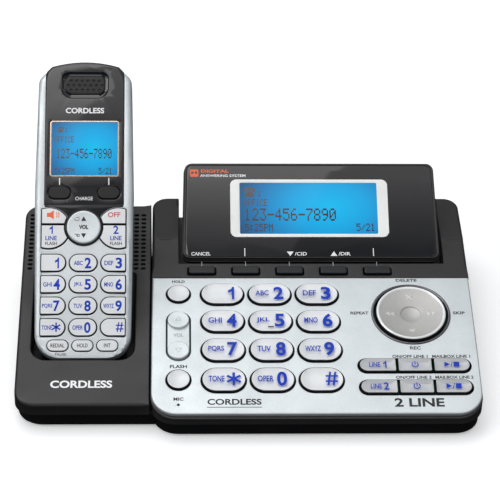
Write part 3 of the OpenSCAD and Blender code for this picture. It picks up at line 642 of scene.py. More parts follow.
body_shape = Shape()
corner_r, band = 13.0, 3.0
outer = rounded(console_x, right_x, front_y, strip_y, (corner_r, corner_r, 0, 0), 12)
inner = rounded(console_x + band, right_x - band, front_y + band, strip_y,
                (corner_r - band, corner_r - band, 0, 0), 12)


def open_at(loop, x):
    """The loop turned so that it ends at x on the strip's line."""
    start = next(i for i, p in enumerate(loop) if abs(p[0] - x) < 1e-3 and abs(p[1] - strip_y) < 1e-3)
    return np.roll(loop, -(start + 1), 0)


outer, inner = open_at(outer, right_x), open_at(inner, right_x - band)[::-1]
tray = fine(clean(list(outer) + list(inner)), 3)
body_shape.slab(front_place, tray, fillet(0.4, 3), [(0, None)], step=0)


def edge_softness(x, y):
    if min(abs(x - console_x), abs(x - right_x)) < 9 or abs(y - back_y) < 9:
        return 0.5 + 1.2 * smooth((y - strip_y - 1) / 8)
    return 0.5


u_block = clean([(console_x, strip_y), (right_x, strip_y)]
                + arc(right_x - 8, back_y - 8, 8, 0, 90, 10)
                + [(notch_x1, back_y), (notch_x1, notch_y), (notch_x0, notch_y), (notch_x0, back_y)]
                + arc(console_x + 8, back_y - 8, 8, 90, 180, 10))
soft_nodes = ["soft_key_%d" % i for i in range(1, 6)]
soft_x = [mid(n)[0] for n in soft_nodes]
soft_t = 4.7
strip_rows = sorted(list(np.arange(strip_y + 1.2, back_y - 0.5, 3.0))
                    + [shoulder_y - 0.02, shoulder_y + 0.12, shoulder_y + 0.25, shoulder_y + 0.38,
                       shoulder_y + 0.52])
openings = [(centred(15.1, 6.1, 1.3, x, strip_y + soft_t * math.cos(strip_slope)),
             [(0.3, 0), (0.1, -0.1), (0, -0.3), (0, -6)], True) for x in soft_x]
body_shape.slab(rear_place, fine(u_block, 2.5), fillet(1.0, 5), [(0, None)], openings, step=3,
                rows=strip_rows,
                soft=edge_softness)

jack_windows = [(rounded(x - 7.2, x + 7.2, 9.8, 22.2, 0.6, 3), [(0.4, 0), (0.1, -0.1), (0, -0.4), (0, -15)],
                 True)
                for x in (15, 38, 66)]
body_shape.slab(lambda x, z, h: (x, back_y + h, z), rounded(notch_x0, notch_x1, split_z, notch_z, 0, 1),
                fillet(0.6, 3), [(0, notch_y - back_y)], jack_windows)
body_shape.piece("console_body", "base", CHARCOAL, "charcoal_plastic", ["console_frame"])

# The silver faceplate with its openings
number_keys = ["key_1", "key_2", "key_3", "key_4", "key_5", "key_6", "key_7", "key_8", "key_9",
               "key_star", "key_0", "key_pound"]
key_w, key_h, key_gap, key_rise = 21.8, 14.2, 0.55, 1.3
round_r, rocker_w, rocker_len, dial_r, line_h = 5.8, 11.2, 31.2, 18.2, 8.0
hole_edge = [(0.5, 0), (0.3, -0.06), (0.12, -0.2), (0, -0.45), (0, -plate_t)]
plate_holes = []
for node in number_keys:
    x, s = deck_place(node)
    plate_holes.append((stadium(key_w + 2 * key_gap, key_h + 2 * key_gap, x, s), hole_edge, False))
for node in ("key_hold", "key_flash"):
    plate_holes.append((circle(round_r + key_gap, *deck_place(node)), hole_edge, False))
rocker_x, rocker_s = deck_place("volume_rocker")
plate_holes.append((stadium(rocker_w + 2 * key_gap, rocker_len + 2 * key_gap, rocker_x, rocker_s),
                    hole_edge, False))
dial_x, dial_s = deck_place("message_dial")
plate_holes.append((circle(dial_r + 0.9, dial_x, dial_s, 64), hole_edge, False))
line_nodes = [["line_1_key", "on_off_1_key", "play_1_key"], ["line_2_key", "on_off_2_key", "play_2_key"]]
for row in line_nodes:
    lo, hi = box(row[0])[0][0], box(row[2])[1][0]
    s = deck_place(row[1])[1]
    plate_holes.append((stadium(hi - lo + 2 * key_gap, line_h + 2 * key_gap, (lo + hi) / 2, s), hole_edge,
                        False))
plate_holes.append((circle(0.7, rocker_x, 5.6, 12), [(0.3, 0), (0, -0.2), (0, -plate_t)], False))
plate_plan = fine(rounded(console_x + 0.3, right_x - 0.3, front_y + 0.92, strip_y - 0.02,
                          (corner_r - 0.3, corner_r - 0.3, 0, 0), 12), 4)
plate_outline = np.array([(x, deck_s(y)) for x, y in plate_plan])
# The walls of the openings take the near-black key look: painted shade in the gaps round the keys.
Shape().slab(deck, plate_outline, fillet(0.9, 5), [(0, -plate_t)], plate_holes, step=3.2, well=3).piece(
    "faceplate_silver", "base", [SILVER, SILVER, SILVER, KEY_SHADE], "silver_paint", ["faceplate"])


# ---------- keys of the console ----------
def painted_shade_edge(radius, rise, width=0.22):
    """A key's rounded edge in two runs of rings: the top's, and the outer one in the painted shade of the
    gap.
    """
    rings = fillet(radius, 6, rise)
    bright = [r for r in rings if r[0] >= width]
    return bright, rings[len(bright):]


def key_piece(node, place, outline, rise=key_rise, radius=0.55, low=-plate_t, dome=0.0, size=(20, 14),
              looks=None,
              slot="key_grey"):
    """A key's cap: crowned by dome over its size, with a rounded top edge, and painted-shade sides down to
    low.
    """
    def lift(u, v):
        return dome * (1 - min(1, (2 * u / size[0]) ** 2)) * (1 - min(1, (2 * v / size[1]) ** 2)) - dome

    top, edge = painted_shade_edge(radius, rise)
    return Shape().slab(place, outline, top, edge + [(0, rise - radius - 0.25), (0, low)], step=2.4,
                        lift=lift if dome else None, looks=(0, 1, 1)).piece(
        node + "_cap", node, looks or [KEY, KEY_SHADE], slot, [node])


legends = {"key_1": ("", "1"), "key_2": ("ABC", "2"), "key_3": ("DEF", "3"), "key_4": ("GHI", "4"),
           "key_5": ("JKL", "5"), "key_6": ("MNO", "6"), "key_7": ("PQRS", "7"), "key_8": ("TUV", "8"),
           "key_9": ("WXYZ", "9"), "key_star": ("TONE", "*"), "key_0": ("OPER", "0"),
           "key_pound": ("", "#")}
LIFT = 0.05


def star(sheet, place, u, v, r, width, lift):
    for a in (90, 150, 210):
        c, s = math.cos(math.radians(a)), math.sin(math.radians(a))
        sheet.line(place, [(u - r * c, v - r * s), (u + r * c, v + r * s)], width, lift)


def hatch(sheet, place, u, v, w, h, width, lift):
    for k in (-0.5, 0.5):
        sheet.line(place, [(u + k * w * 0.42 - 0.1 * w, v - h / 2),
                           (u + k * w * 0.42 + 0.1 * w, v + h / 2)], width, lift)
        sheet.line(place, [(u - w / 2, v + k * h * 0.38), (u + w / 2, v + k * h * 0.38)], width, lift)


DOME = 0.22
for node in number_keys:
    x, s = deck_place(node)
    here = at(deck, x, s)
    key_piece(node, here, stadium(key_w, key_h), dome=DOME, size=(30, 18))
    letters, digit = legends[node]
    ink = Print()
    top = key_rise + LIFT
    if letters:
        ink.words(here, letters, -3.9 if len(letters) == 3 else -3.6, 0.2,
                  6.9 if len(letters) == 3 else 8.0, 3.7, top - 0.03, 0.02)
    if digit == "*":
        star(ink, here, 5.0, 0.1, 3.9, 1.3, top - 0.02)
    elif digit == "#":
        hatch(ink, here, 5.0, 0.1, 6.2, 8.4, 1.0, top - 0.02)
    else:
        ink.digit(here, digit, 4.6, 0.1, 5.1, 8.8, top - 0.02, 0.03)
    ink.marks(node + "_legend", node, INK_BLUE)
nub = Shape()
five = at(deck, *deck_place("key_5"))
nub.slab(at(five, 0, -4.3), stadium(3.0, 0.55, n=4), [(0.12, 0.42 + key_rise - 0.1), (0, key_rise + 0.15)],
         [(0, key_rise - 0.2)])
nub.piece("key_5_nub", "key_5", INK_BLACK)

for node in ("key_hold", "key_flash"):
    key_piece(node, at(deck, *deck_place(node)), circle(round_r, n=40), dome=0.3, size=(13, 13), radius=0.5)

# Volume rocker: a low plate with two raised discs
here = at(deck, rocker_x, rocker_s)
rocker = Shape()
rocker.slab(here, stadium(rocker_w, rocker_len), [(0.3, -0.2), (0.1, -0.28), (0, -0.5)], [(0, -2.6)])
for side in (-1, 1):
    disc = at(here, 0, side * (rocker_len - rocker_w) / 2)
    rocker.lathe(disc,
                 [(0, 1.18), (3.0, 1.2), (4.9, 1.34), (5.2, 1.3), (5.45, 1.1), (5.55, 0.8), (5.55, -0.4)])
rocker.piece("volume_rocker_body", "volume_rocker", SILVER, "silver_paint", ["volume_rocker"])
ink = Print()
ink.words(here, "VOL", 0, 0.6, 5.2, 2.3, -0.16, 0.02)
for side in (-1, 1):
    for k in range(3):
        a, b = math.radians(90 * side + 120 * k), math.radians(90 * side + 120 * (k + 1))
        cy = side * (rocker_len - rocker_w) / 2
        ink.line(here, [(1.75 * math.cos(a), cy + 1.75 * math.sin(a)),
                        (1.75 * math.cos(b), cy + 1.75 * math.sin(b))],
                 0.22, 1.26)
ink.marks("volume_rocker_legend", "volume_rocker", RELIEF)

# Message dial: a dished disc in a bright rim, with a dark trim ring round it
here = at(deck, dial_x, dial_s)
dish = [(5.2 * t, -0.75 - 0.75 * (1 - t * t)) for t in (0, 0.25, 0.5, 0.75, 0.92, 1)]
# The rim's outer wall and underside take the near-black key look: painted shade in the gap round the dial.
dial = Shape().lathe(here, dish + [(5.35, -0.28), (5.7, -0.16), (7.5, -0.02), (10, 0.18), (12.5, 0.45),
                                   (14.5, 0.74),
                                   (15.9, 0.99), (16.3, 1.1), (16.55, 1.45), (16.9, 1.7), (17.3, 1.76),
                                   (17.7, 1.62),
                                   (17.95, 1.25), (18.2, 0.5), (18.2, -2.2), (0, -2.2)], 72,
                     [0] * 14 + [1, 1, 1, 1, 1, 2, 2, 2])
dial.piece("message_dial_disc", "message_dial", [DIAL, DIAL_RIM, KEY_SHADE], "dial_grey", ["message_dial"])
Shape().lathe(here, [(19.15, -1.0), (19.15, 0.12), (19.4, 0.42), (19.9, 0.55), (20.4, 0.4), (20.65, 0.02),
                     (20.65, -0.2), (19.15, -1.0)], 72).piece("message_dial_trim", "base", CHROME_DARK)


def dial_h(r):
    return float(np.interp(r, [5.7, 7.5, 10, 12.5, 14.5], [-0.16, -0.02, 0.18, 0.45, 0.74]))


relief = Shape()
icon = lambda u, v, h: deck(dial_x + u, dial_s + v, dial_h(math.hypot(u, v)) + h)


def ridge(shape, place, points, width, height):
    """A raised stroke with a rounded top."""
    p = np.asarray(points, float)
    d = (p[-1] - p[0]) / np.hypot(*(p[-1] - p[0]))
    n = np.array([-d[1], d[0]]) * width / 2
    loop = np.array([p[0] - n, p[-1] - n, p[-1] + n, p[0] + n])
    shape.slab(place, loop, [(width * 0.25, height), (0.0, height * 0.55)], [(0, -0.2)])


for a in (45, 135):
    c, s = 2.1 * math.cos(math.radians(a)), 1.9 * math.sin(math.radians(a))
    ridge(relief, icon, [(-c, 11.2 - s), (c, 11.2 + s)], 0.8, 0.26)
for side in (-1, 1):
    for k in (0, 1):
        tip, base = side * (13.2 - 2.4 * k), side * (10.9 - 2.4 * k)
        loop = np.array([(base, -1.6), (tip, 0), (base, 1.6)] if side > 0 else
                        [(tip, 0), (base, -1.6), (base, 1.6)])
        relief.slab(icon, loop, [(0.2, 0.22), (0, 0.1)], [(0, -0.2)])
relief.slab(icon, circle(1.6, 0, -11.2, 20), [(0.15, 0.25), (0, 0.12)], [(0, -0.2)],
            [(circle(0.95, 0, -11.2, 20), [(0.1, 0.25), (0, 0.05), (0, 0.02)], True)])
relief.piece("message_dial_icons", "message_dial", DIAL_MARK)

# The two rows of line keys
for row in line_nodes:
    for k, node in enumerate(row):
        lo, hi = box(node)
        x, s = (lo[0] + hi[0]) / 2, deck_place(node)[1]
        w = hi[0] - lo[0] - 0.5
        r = line_h / 2
        corners = [(r, 0.8, 0.8, r), 0.8, (0.8, r, r, 0.8)][k]
        here = at(deck, x, s)
        key_piece(node, here, centred(w, line_h, corners), dome=0.12, size=(26, 11), radius=0.5,
                  slot="line_key_grey",
                  looks=[LINE_KEY, KEY_SHADE])
        ink, top = Print(), key_rise + LIFT - 0.04
        if k == 0:
            ink.words(here, "LINE", -1.6, -0.1, 5.6, 2.9, top, 0.02)
            ink.digit(here, node[5], 3.5, 0.0, 2.7, 4.4, top, 0.02)
        elif k == 1:
            ink.line(here, [(1.55 * math.sin(a), -0.1 + 1.55 * math.cos(a))
                            for a in np.radians(np.linspace(35, 325, 24))],
                     0.5, top)
            ink.line(here, [(0, -0.2), (0, 2.0)], 0.5, top)
        else:
            ink.shape(here, np.array([(-3.9, -1.6), (-1.0, 0), (-3.9, 1.6)]), top)
            ink.line(here, [(-0.75, -1.7), (0.25, 1.7)], 0.32, top)
            ink.shape(here, np.array([(0.8, -1.5), (3.7, -1.5), (3.7, 1.5), (0.8, 1.5)]), top)
        ink.marks(node + "_legend", node, INK_BLUE)

# Soft keys: glossy ledges on the dark strip
for node, x in zip(soft_nodes, soft_x):
    key_piece(node, at(strip, x, soft_t), centred(14, 5, 1.0), rise=1.6, radius=0.7, low=-2.6,
              looks=[BLACK, GLOSS],
              slot="black_plastic")

# Labels printed on the faceplate and the strip
ink = Print()
for words, x, s, w, h in (
        ("HOLD", rocker_x, 86.2, 6.6, 1.9), ("FLASH", rocker_x, 28.9, 8.6, 2.1),
        ("MIC", rocker_x, 8.9, 5.0, 2.0),
        ("DELETE", dial_x - 0.6, 87.1, 11.0, 1.9), ("REC", dial_x + 0.6, 40.5, 5.6, 2.1),
        ("REPEAT", dial_x - 26.6, dial_s + 0.6, 9.4, 2.0), ("SKIP", dial_x + 25.0, dial_s + 0.6, 6.2, 2.0),
        ("ON/OFF LINE 1", 82.2, 35.1, 18.0, 1.9), ("MAILBOX LINE 1", 103.2, 35.1, 19.4, 1.9),
        ("ON/OFF LINE 2", 83.2, 21.9, 18.0, 1.9), ("MAILBOX LINE 2", 103.8, 21.9, 19.4, 1.9)):
    ink.words(deck, words, x, s, w, h, 0.04, 0.03)
ink.words(deck, "CORDLESS", -7.5, 7.2, 27.0, 3.6, 0.04, 0.03)
ink.line(deck, [(-21.2, 4.0), (6.2, 4.0)], 0.35, 0.04)
ink.words(deck, "2 LINE", 85.0, 6.6, 25.0, 5.2, 0.04, 0.03)
ink.marks("faceplate_labels", "base", INK_BLACK)
ticks = Print()
for x in soft_x:
    ticks.line(strip, [(x, 8.4), (x, 11.4)], 0.3, 0.03)
ticks.marks("strip_ticks", "base", RELIEF)

# ---------- display ----------
def taper(loop):
    return np.array([(u * (1 - 1.1 / (panel_w / 2) * v / panel_len), v) for u, v in loop])


panel_plan = fine(taper(rounded(-panel_w / 2, panel_w / 2, 0, panel_len, 4.5, 10)), 12)
glass_plan = fine(taper(rounded(-panel_w / 2 + 2.0, panel_w / 2 - 2.0, 1.3, panel_len - 1.9, 2.6, 8)), 12)
Shape().slab(panel, offset(panel_plan, 0.02), [(0.5, bezel_n - 0.05), (0.02, bezel_n - 0.3)],
             [(0.0, -5.5), (0.5, -7.6), (1.4, -9.0), (2.6, -9.8), (4.0, -panel_t)]).piece(
    "display_back_shell", "display", BLACK, "black_plastic", ["display_rear_shell"])
rim = [(0.85, 0.0), (0.7, -0.05), (0.57, -0.2), (0.48, -0.5), (0.44, -0.85), (0.42, -1.3), (0.42, -1.8),
       (0.8, -2.0),
       (0.8, -2.3), (0.42, -2.5)]
Shape().slab(panel, panel_plan, rim, [(0.42, bezel_n)],
             [(offset(glass_plan, -0.15), [(0.25, 0), (0.05, -0.08), (0, -0.3), (0, -1.4)], True)]).piece(
    "display_bezel_rim", "display", CHARCOAL, "charcoal_plastic", ["display_bezel"])
white_plan = rounded(-42.7, 41.9, 12.7, 46.5, 3.4)
lcd_plan = rounded(-37.7, 36.1, 14.6, 44.5, 0.8, 4)
Shape().slab(panel, glass_plan, [(0.35, 0.0), (0.1, -0.08), (0, -0.3)], [(0, -0.9)],
             [(white_plan, [(0.02, 0), (0.02, -0.2), (0, -0.5)], True)]).piece(
    "display_glass", "display", GLOSS, "gloss_black", ["display_window"])
Shape().slab(panel, white_plan, [(0.25, -0.02), (0.05, -0.08), (0, -0.2)], [(0, -0.45)],
             [(lcd_plan, [(0.25, -0.02), (0.05, -0.1), (0, -0.3), (0, -0.4)], True)]).piece(
    "display_lcd_frame", "display", WHITE)


def metres(p):
    return [c / 1000 for c in p]


lcd_mat = lcd_material("display_backlight", metres(panel(10, 30)), (0.052, 0.034, 0.034))
Shape().slab(panel, offset(lcd_plan, 0.05), [(0.1, -0.2), (0, -0.26)], [(0, -0.38)]).piece(
    "display_lcd_cell", "display", lcd_mat, "lcd_blue", ["display_lcd"])


def phone_icon(sheet, place, u, v, w, h, lift):
    """A small desk telephone."""
    body = np.array([(-0.40, 0), (0.40, 0), (0.40, 0.22), (0.20, 0.58), (-0.20, 0.58), (-0.40, 0.22)])
    grip = np.array([(-0.5, 0.52), (-0.30, 0.52), (-0.24, 0.70), (0.24, 0.70), (0.30, 0.52), (0.5, 0.52),
                     (0.46, 0.86),
                     (0.34, 1.0), (-0.34, 1.0), (-0.46, 0.86)])
    for loop in (body, grip):
        sheet.shape(place, loop * (w, h) + (u, v), lift)


pixels = Print()
lcd_left, lcd_low = -37.7, 14.6
phone_icon(pixels, panel, lcd_left + 5.3, lcd_low + 21.6, 6.2, 5.4, -0.17)
dots(pixels, panel, "1", lcd_left + 9.2, lcd_low + 21.8, 2.6, 3.4, -0.17)
dots(pixels, panel, "OFFICE", lcd_left + 2.4, lcd_low + 16.2, 12.4, 4.0, -0.17)
dots(pixels, panel, "123-456-7890", lcd_left + 2.4, lcd_low + 7.6, 49.0, 7.2, -0.17)
dots(pixels, panel, "5:25PM", lcd_left + 2.6, lcd_low + 1.4, 15.0, 4.4, -0.17)
dots(pixels, panel, "5/21", lcd_left + 62.2, lcd_low + 1.6, 9.8, 4.4, -0.17)
pixels.marks("display_pixels", "display", INK_PIXEL)
ink = Print()
for words, u, w in (("CANCEL", -58.5, 10.2), ("/CID", -5.6, 6.4), ("/DIR", 17.6, 6.4)):
    ink.words(panel, words, u, 3.0, w, 2.0, 0.03, 0.015)
ink.shape(panel, np.array([(-13.0, 4.3), (-11.2, 1.7), (-9.4, 4.3)]), 0.03)
ink.shape(panel, np.array([(10.2, 1.8), (13.8, 1.8), (12.0, 4.4)]), 0.03)
for u in (-35.3, 33.0):
    ink.line(panel, [(u, 1.7), (u, 6.2)], 0.45, 0.03)
ink.words(panel, "ANSWERING SYSTEM", -46.6, 48.6, 24.5, 1.5, 0.03, 0.02)
ink.marks("display_labels", "display", INK_WHITE)
ink = Print()
ink.shape(panel, rounded(-64.2, -59.6, 47.9, 52.3, 0.8, 3), 0.03,
          [circle(0.75, -62.9, 50.3, 12), circle(0.75, -60.9, 50.3, 12)])
ink.words(panel, "DIGITAL", -50.8, 51.3, 15.0, 1.9, 0.03, 0.03)
ink.marks("display_mark", "display", INK_ORANGE)

# ---------- handset ----------
def hull(points):
    """The convex outline of some points."""
    pts = sorted(map(tuple, np.round(points, 4)))
    out = []
    for run in (pts, pts[::-1]):
        part = []
        for p in run:
            while len(part) > 1 and ((part[-1][0] - part[-2][0]) * (p[1] - part[-2][1])
                                     - (part[-1][1] - part[-2][1]) * (p[0] - part[-2][0])) <= 1e-7:
                part.pop()
            part.append(p)
        out += part[:-1]
    return np.array(out)


half_w = handset_w / 2
arch_r = 60.0
cloud = [(u, v) for u, v in arc(0, handset_len - arch_r, arch_r, 60, 120, 60) if abs(u) < 18]
for side in (-1, 1):
    for u, v, r in ((half_w - 14, 13, 13), (half_w - 10, 88, 10), (half_w - 7.2, handset_len - 12, 6)):
        cloud += list(circle(r, side * u, v, 96))
silhouette = hull(cloud)
outline = fine(silhouette, 3)


def edge_distance(u, v):
    a, b = silhouette, np.roll(silhouette, -1, 0)
    d = b - a
    t = np.clip(((u - a[:, 0]) * d[:, 0] + (v - a[:, 1]) * d[:, 1]) / (d * d).sum(1), 0, 1)
    return float(np.hypot(a[:, 0] + t * d[:, 0] - u, a[:, 1] + t * d[:, 1] - v).min())


RAIL_D = [0, 0.15, 0.45, 0.9, 1.5, 2.1, 2.7, 3.1, 3.4, 3.55, 3.75, 3.95, 4.1]
RAIL_H = [-2.2, -1.55, -0.95, -0.42, -0.05, 0.12, 0.14, 0.06, -0.1, -0.5, -0.55, -0.2, 0.0]
BAR_H = [-2.2, -1.55, -0.95, -0.42, -0.05, 0.12, 0.18, 0.18, 0.16, 0.14, 0.1, 0.06, 0.0]


def front_lift(u, v):
    """The front shell's relief: a rounded rail along each side, which thins out round the bottom end."""
    width = 0.3 + 0.7 * smooth((v - 1.0) / 13)
    d = edge_distance(u, v) / width
    rail, bar = np.interp(d, RAIL_D, RAIL_H), np.interp(d, RAIL_D, BAR_H)
    share = smooth((v - 76) / 5)
    return float(rail * (1 - share) + bar * share) * (0.55 + 0.45 * width)


face_u, face_v, block_u, block_v, block_r = 20.5, 79.9, 17.8, 67.7, 10.7
nav_v, nav_r, pad_u = 68.3, 8.8, 21.6
low = np.argmin(np.abs(outline[:, 0]) + 10 * (outline[:, 1] > 5))
ordered = np.roll(outline, -low, 0)
right_side = [p for p in ordered if p[0] >= 0 and (p[1] < 60 or p[0] > face_u + 0.3)]
right_side.sort(key=lambda p: math.atan2(p[0], 79 - p[1]))
cut_v = float(np.interp(face_u, *zip(*sorted((p[0], p[1]) for p in outline if p[0] > 10 and p[1] > 140))))
right_side = [(p[0], p[1]) for p in right_side] + [(face_u, cut_v), (face_u, face_v)]
front_loop = fine(clean(right_side + [(-u, v) for u, v in right_side[::-1]]), 2.5)


def block_outline(side, upper=None, grow=0.0):
    """The outline of the upper or the lower key beside the navigation disc, or of both as one."""
    limit, big, small = pad_u + grow * 0.5, block_r + grow, nav_r + 1.2 - grow
    gap, split = math.hypot(block_u, nav_v - block_v), 69.7
    toward = math.degrees(math.atan2(nav_v - block_v, -block_u))
    phi = math.degrees(math.acos((gap ** 2 + big ** 2 - small ** 2) / (2 * gap * big)))
    edge = math.degrees(math.acos((limit - block_u) / big))
    hi_pt = arc(block_u, block_v, big, toward - phi, toward - phi + 0.01, 1)[0]
    lo_pt = arc(block_u, block_v, big, toward + phi, toward + phi + 0.01, 1)[0]
    angle = lambda p: math.degrees(math.atan2(p[1] - nav_v, p[0]))
    if upper is None:
        pts = (arc(block_u, block_v, big, edge, toward - phi, 14)
               + arc(0, nav_v, small, angle(hi_pt), angle(lo_pt), 14)
               + arc(block_u, block_v, big, toward + phi, 360 - edge, 16))
    elif upper:
        cut = split + 0.4
        a = math.degrees(math.asin((cut - nav_v) / small))
        pts = ([(limit, cut)] + arc(block_u, block_v, big, edge, toward - phi, 14)
               + arc(0, nav_v, small, angle(hi_pt), a, 6))
    else:
        cut = split - 0.4
        a = math.degrees(math.asin((cut - nav_v) / small))
        pts = ([(limit, cut)] + arc(0, nav_v, small, a, angle(lo_pt), 10)
               + arc(block_u, block_v, big, toward + phi, 360 - edge, 16))
    loop = clean(pts)
    return loop if side > 0 else clean([(-u, v) for u, v in loop[::-1]])


pad_h, key_slack = 8.8, 0.4
rows = [(49.5 - 11.23 * k) for k in range(4)]
bottom_v = 6.4


def pad_outline(column, v, grow=0.0):
    r, e = pad_h / 2 + grow - 0.02, 0.7
    if column == 1:
        return centred(14 + 2 * grow, pad_h + 2 * grow, r, 0, v)
    x0, x1 = 9.1 - grow, pad_u + grow * 0.5
    if column == 2:
        return rounded(x0, x1, v - pad_h / 2 - grow, v + pad_h / 2 + grow, (r, e, e, r))
    return rounded(-x1, -x0, v - pad_h / 2 - grow, v + pad_h / 2 + grow, (e, r, r, e))


slot_edge = [(0.3, 0), (0.1, -0.08), (0, -0.3), (0, -2.8)]
front_holes = [(pad_outline(c, v, key_slack), slot_edge, True) for v in rows for c in range(3)]
front_holes += [(block_outline(side, None, key_slack), slot_edge, True) for side in (-1, 1)]
front_holes += [(circle(nav_r + key_slack, 0, nav_v, 48), [(0.05, 0), (0.02, -0.08), (0, -0.3), (0, -2.8)],
                 True)]
front_holes += [(stadium(10.4 + 0.8, 5.4 + 0.8, i * 12.6, bottom_v), slot_edge, True) for i in (-1, 0, 1)]
# The walls of the key openings take the near-black key look: painted shade in the gaps round the keys.
Shape().slab(handset, front_loop, [(0.22, 0), (0.08, -0.06), (0, -0.25)], [(0, -9.5), (0.25, -9.85)],
             front_holes,
             step=1.15, lift=front_lift, well=3).piece("handset_silver_shell", "handset",
                                                       [SILVER, SILVER, SILVER, KEY_SHADE],
                                                       "silver_paint", ["handset_front_shell"])

# Glossy fascia with the earpiece, the window and the two soft keys' openings
top_edge = [(float(u), float(v)) for u, v in outline if abs(u) <= 20.2 and v > 140]
top_edge.sort(key=lambda p: -p[0])
fascia_loop = fine(clean([(-20.3, 80.1), (20.3, 80.1), (20.3, cut_v)] + top_edge + [(-20.3, cut_v)]), 2.5)
ear = rounded(-12.2, 12.2, 137.7, 152.1, (5.5, 5.5, 4.0, 4.0))
window = rounded(-18, 18, 95.3, 125.6, 1.5, 4)
soft_u, soft_v = 12.7, 86.7
fascia_holes = [(ear, [(0.5, 0), (0.15, -0.12), (0, -0.4), (-0.5, -0.9), (-2.1, -1.7)], True),
                (window, [(0.2, 0), (0.05, -0.1), (0, -0.3), (0, -0.75)], True)]
fascia_holes += [(stadium(12.2, 7.4, side * soft_u, soft_v), slot_edge, True) for side in (-1, 1)]
FASCIA_H = 0.25
Shape().slab(lambda u, v, h: handset(u, v, h + FASCIA_H), fascia_loop, fillet(0.9, 5),
             [(0, -9.7), (0.3, -10.1)],
             fascia_holes, soft=lambda u, v: 0.5 + 1.9 * smooth((v - 146) / 8)).piece(
    "handset_gloss_fascia", "handset", GLOSS, "gloss_black", ["handset_fascia"])
grille = [(circle(0.72, i * 2.95, 145, 12), [(0.1, 0), (0, -0.1), (0, -0.5)], True) for i in range(-3, 4)]
grille += [(circle(0.72, (i + 0.5) * 2.95, 145 + side * 2.5, 12), [(0.1, 0), (0, -0.1), (0, -0.5)], True)
           for i in range(-3, 3) for side in (-1, 1)]
Shape().slab(lambda u, v, h: handset(u, v, h - 0.75), rounded(-10.4, 10.4, 140.2, 150.2, (4, 4, 2.6, 2.6)),
             [(0.6, 0), (0.2, -0.12), (0, -0.4)], [(0, -0.65)], grille).piece("handset_ear_grille",
                                                                              "handset", BLACK)
Shape().slab(lambda u, v, h: handset(u, v, h + 0.12), offset(window, 0.06),
             [(0.22, 0.02), (0.05, -0.06), (0, -0.2)],
             [(0, -0.55)], [(offset(window, 0.75), [(0.1, 0.0), (0, -0.1), (0, -0.35)], True)]).piece(
    "handset_window_trim", "handset", BRONZE)
phone_lcd = lcd_material("handset_backlight", metres(handset(5, 111)), (0.028, 0.026, 0.026))
Shape().slab(lambda u, v, h: handset(u, v, h - 0.08), offset(window, 0.85), [(0.1, 0.02), (0, -0.04)],
             [(0, -0.12)]).piece("handset_lcd_cell", "handset", phone_lcd, "lcd_blue", ["handset_lcd"])
pixels = Print()
phone_icon(pixels, handset, -12.6, 119.2, 3.4, 3.0, 0.02)
dots(pixels, handset, "1", -10.4, 119.4, 1.5, 2.2, 0.02)
dots(pixels, handset, "OFFICE", -15.6, 113.8, 10.0, 3.2, 0.02)
dots(pixels, handset, "123-456-7890", -14.6, 105.2, 28.6, 5.2, 0.02)
dots(pixels, handset, "5:25PM", -15.2, 96.8, 10.0, 3.3, 0.02)
dots(pixels, handset, "5/21", 7.4, 96.8, 6.8, 3.3, 0.02)
pixels.marks("handset_pixels", "handset", INK_PIXEL)

# The black collar between the fascia and the navigation disc
a_block = math.degrees(math.atan2(nav_v - block_v, -block_u))
gap, big, small = math.hypot(block_u, nav_v - block_v), block_r + 0.65, nav_r + 0.55
phi = math.degrees(math.acos((gap ** 2 + big ** 2 - small ** 2) / (2 * gap * big)))
right_arc = arc(block_u, block_v, big, a_block - phi, 90, 14)
a_nav = math.degrees(math.atan2(right_arc[0][1] - nav_v, right_arc[0][0]))
collar = clean(right_arc + [(20.2, block_v + big), (20.2, 80.05), (-20.2, 80.05), (-20.2, block_v + big)]
               + [(-u, v) for u, v in right_arc[::-1]] + arc(0, nav_v, small, 180 - a_nav, a_nav, 20)[1:-1])
Shape().slab(handset, collar, [(0.12, 0.2), (0.03, 0.14), (0, 0.05)], [(0, -0.1)]).piece(
    "handset_collar", "handset", GLOSS)
Shape().lathe(at(handset, 0, nav_v),
              [(nav_r + 0.45, -0.6), (nav_r + 0.45, 0.2), (nav_r + 0.7, 0.45), (nav_r + 1.05, 0.45),
                                      (nav_r + 1.15, 0.2), (nav_r + 1.15, -0.05), (nav_r + 0.45, -0.6)],
              64).piece(
    "handset_nav_ring", "handset", GLOSS)

# Keys of the handset
# The keys' sides and outer edge rings take the near-black key look: painted shade in the gaps round them.
digits = [["1", "2", "3"], ["4", "5", "6"], ["7", "8", "9"], ["*", "0", "#"]]
letters = [["", "ABC", "DEF"], ["GHI", "JKL", "MNO"], ["PQRS", "TUV", "WXYZ"], ["TONE", "OPER", ""]]
row_nodes = ["handset_keys_123", "handset_keys_456", "handset_keys_789", "handset_keys_star_0_pound"]
key_top, key_edge = painted_shade_edge(0.4, 0.9, 0.12)
KEY_FOOT = [(0, 0.3), (0, -1.7)]
for k, (node, v) in enumerate(zip(row_nodes, rows)):
    shape, ink = Shape(), Print()
    for c in range(3):
        shape.slab(handset, pad_outline(c, v), key_top, key_edge + KEY_FOOT, looks=(0, 1, 1))
        u = (-15.6, 0.0, 15.6)[c]
        word, digit = letters[k][c], digits[k][c]
        du = (2.2, 2.4, 2.6)[c]
        if word:
            ink.words(handset, word, u - 2.5, v - 0.2, 4.5 if len(word) == 3 else 5.3, 2.3, 0.93, 0.02)
        if digit == "*":
            star(ink, handset, u + du, v, 2.4, 0.75, 0.94)
        elif digit == "#":
            hatch(ink, handset, u + du + 0.6, v, 3.9, 5.0, 0.6, 0.94)
        else:
            ink.digit(handset, digit, u + du, v - 0.2, 3.3, 5.7, 0.94, 0.03)
    shape.piece(node + "_caps", node, [KEY, KEY_SHADE], "key_grey", [node])
    ink.marks(node + "_legend", node, INK_BLUE)
shape, ink = Shape(), Print()
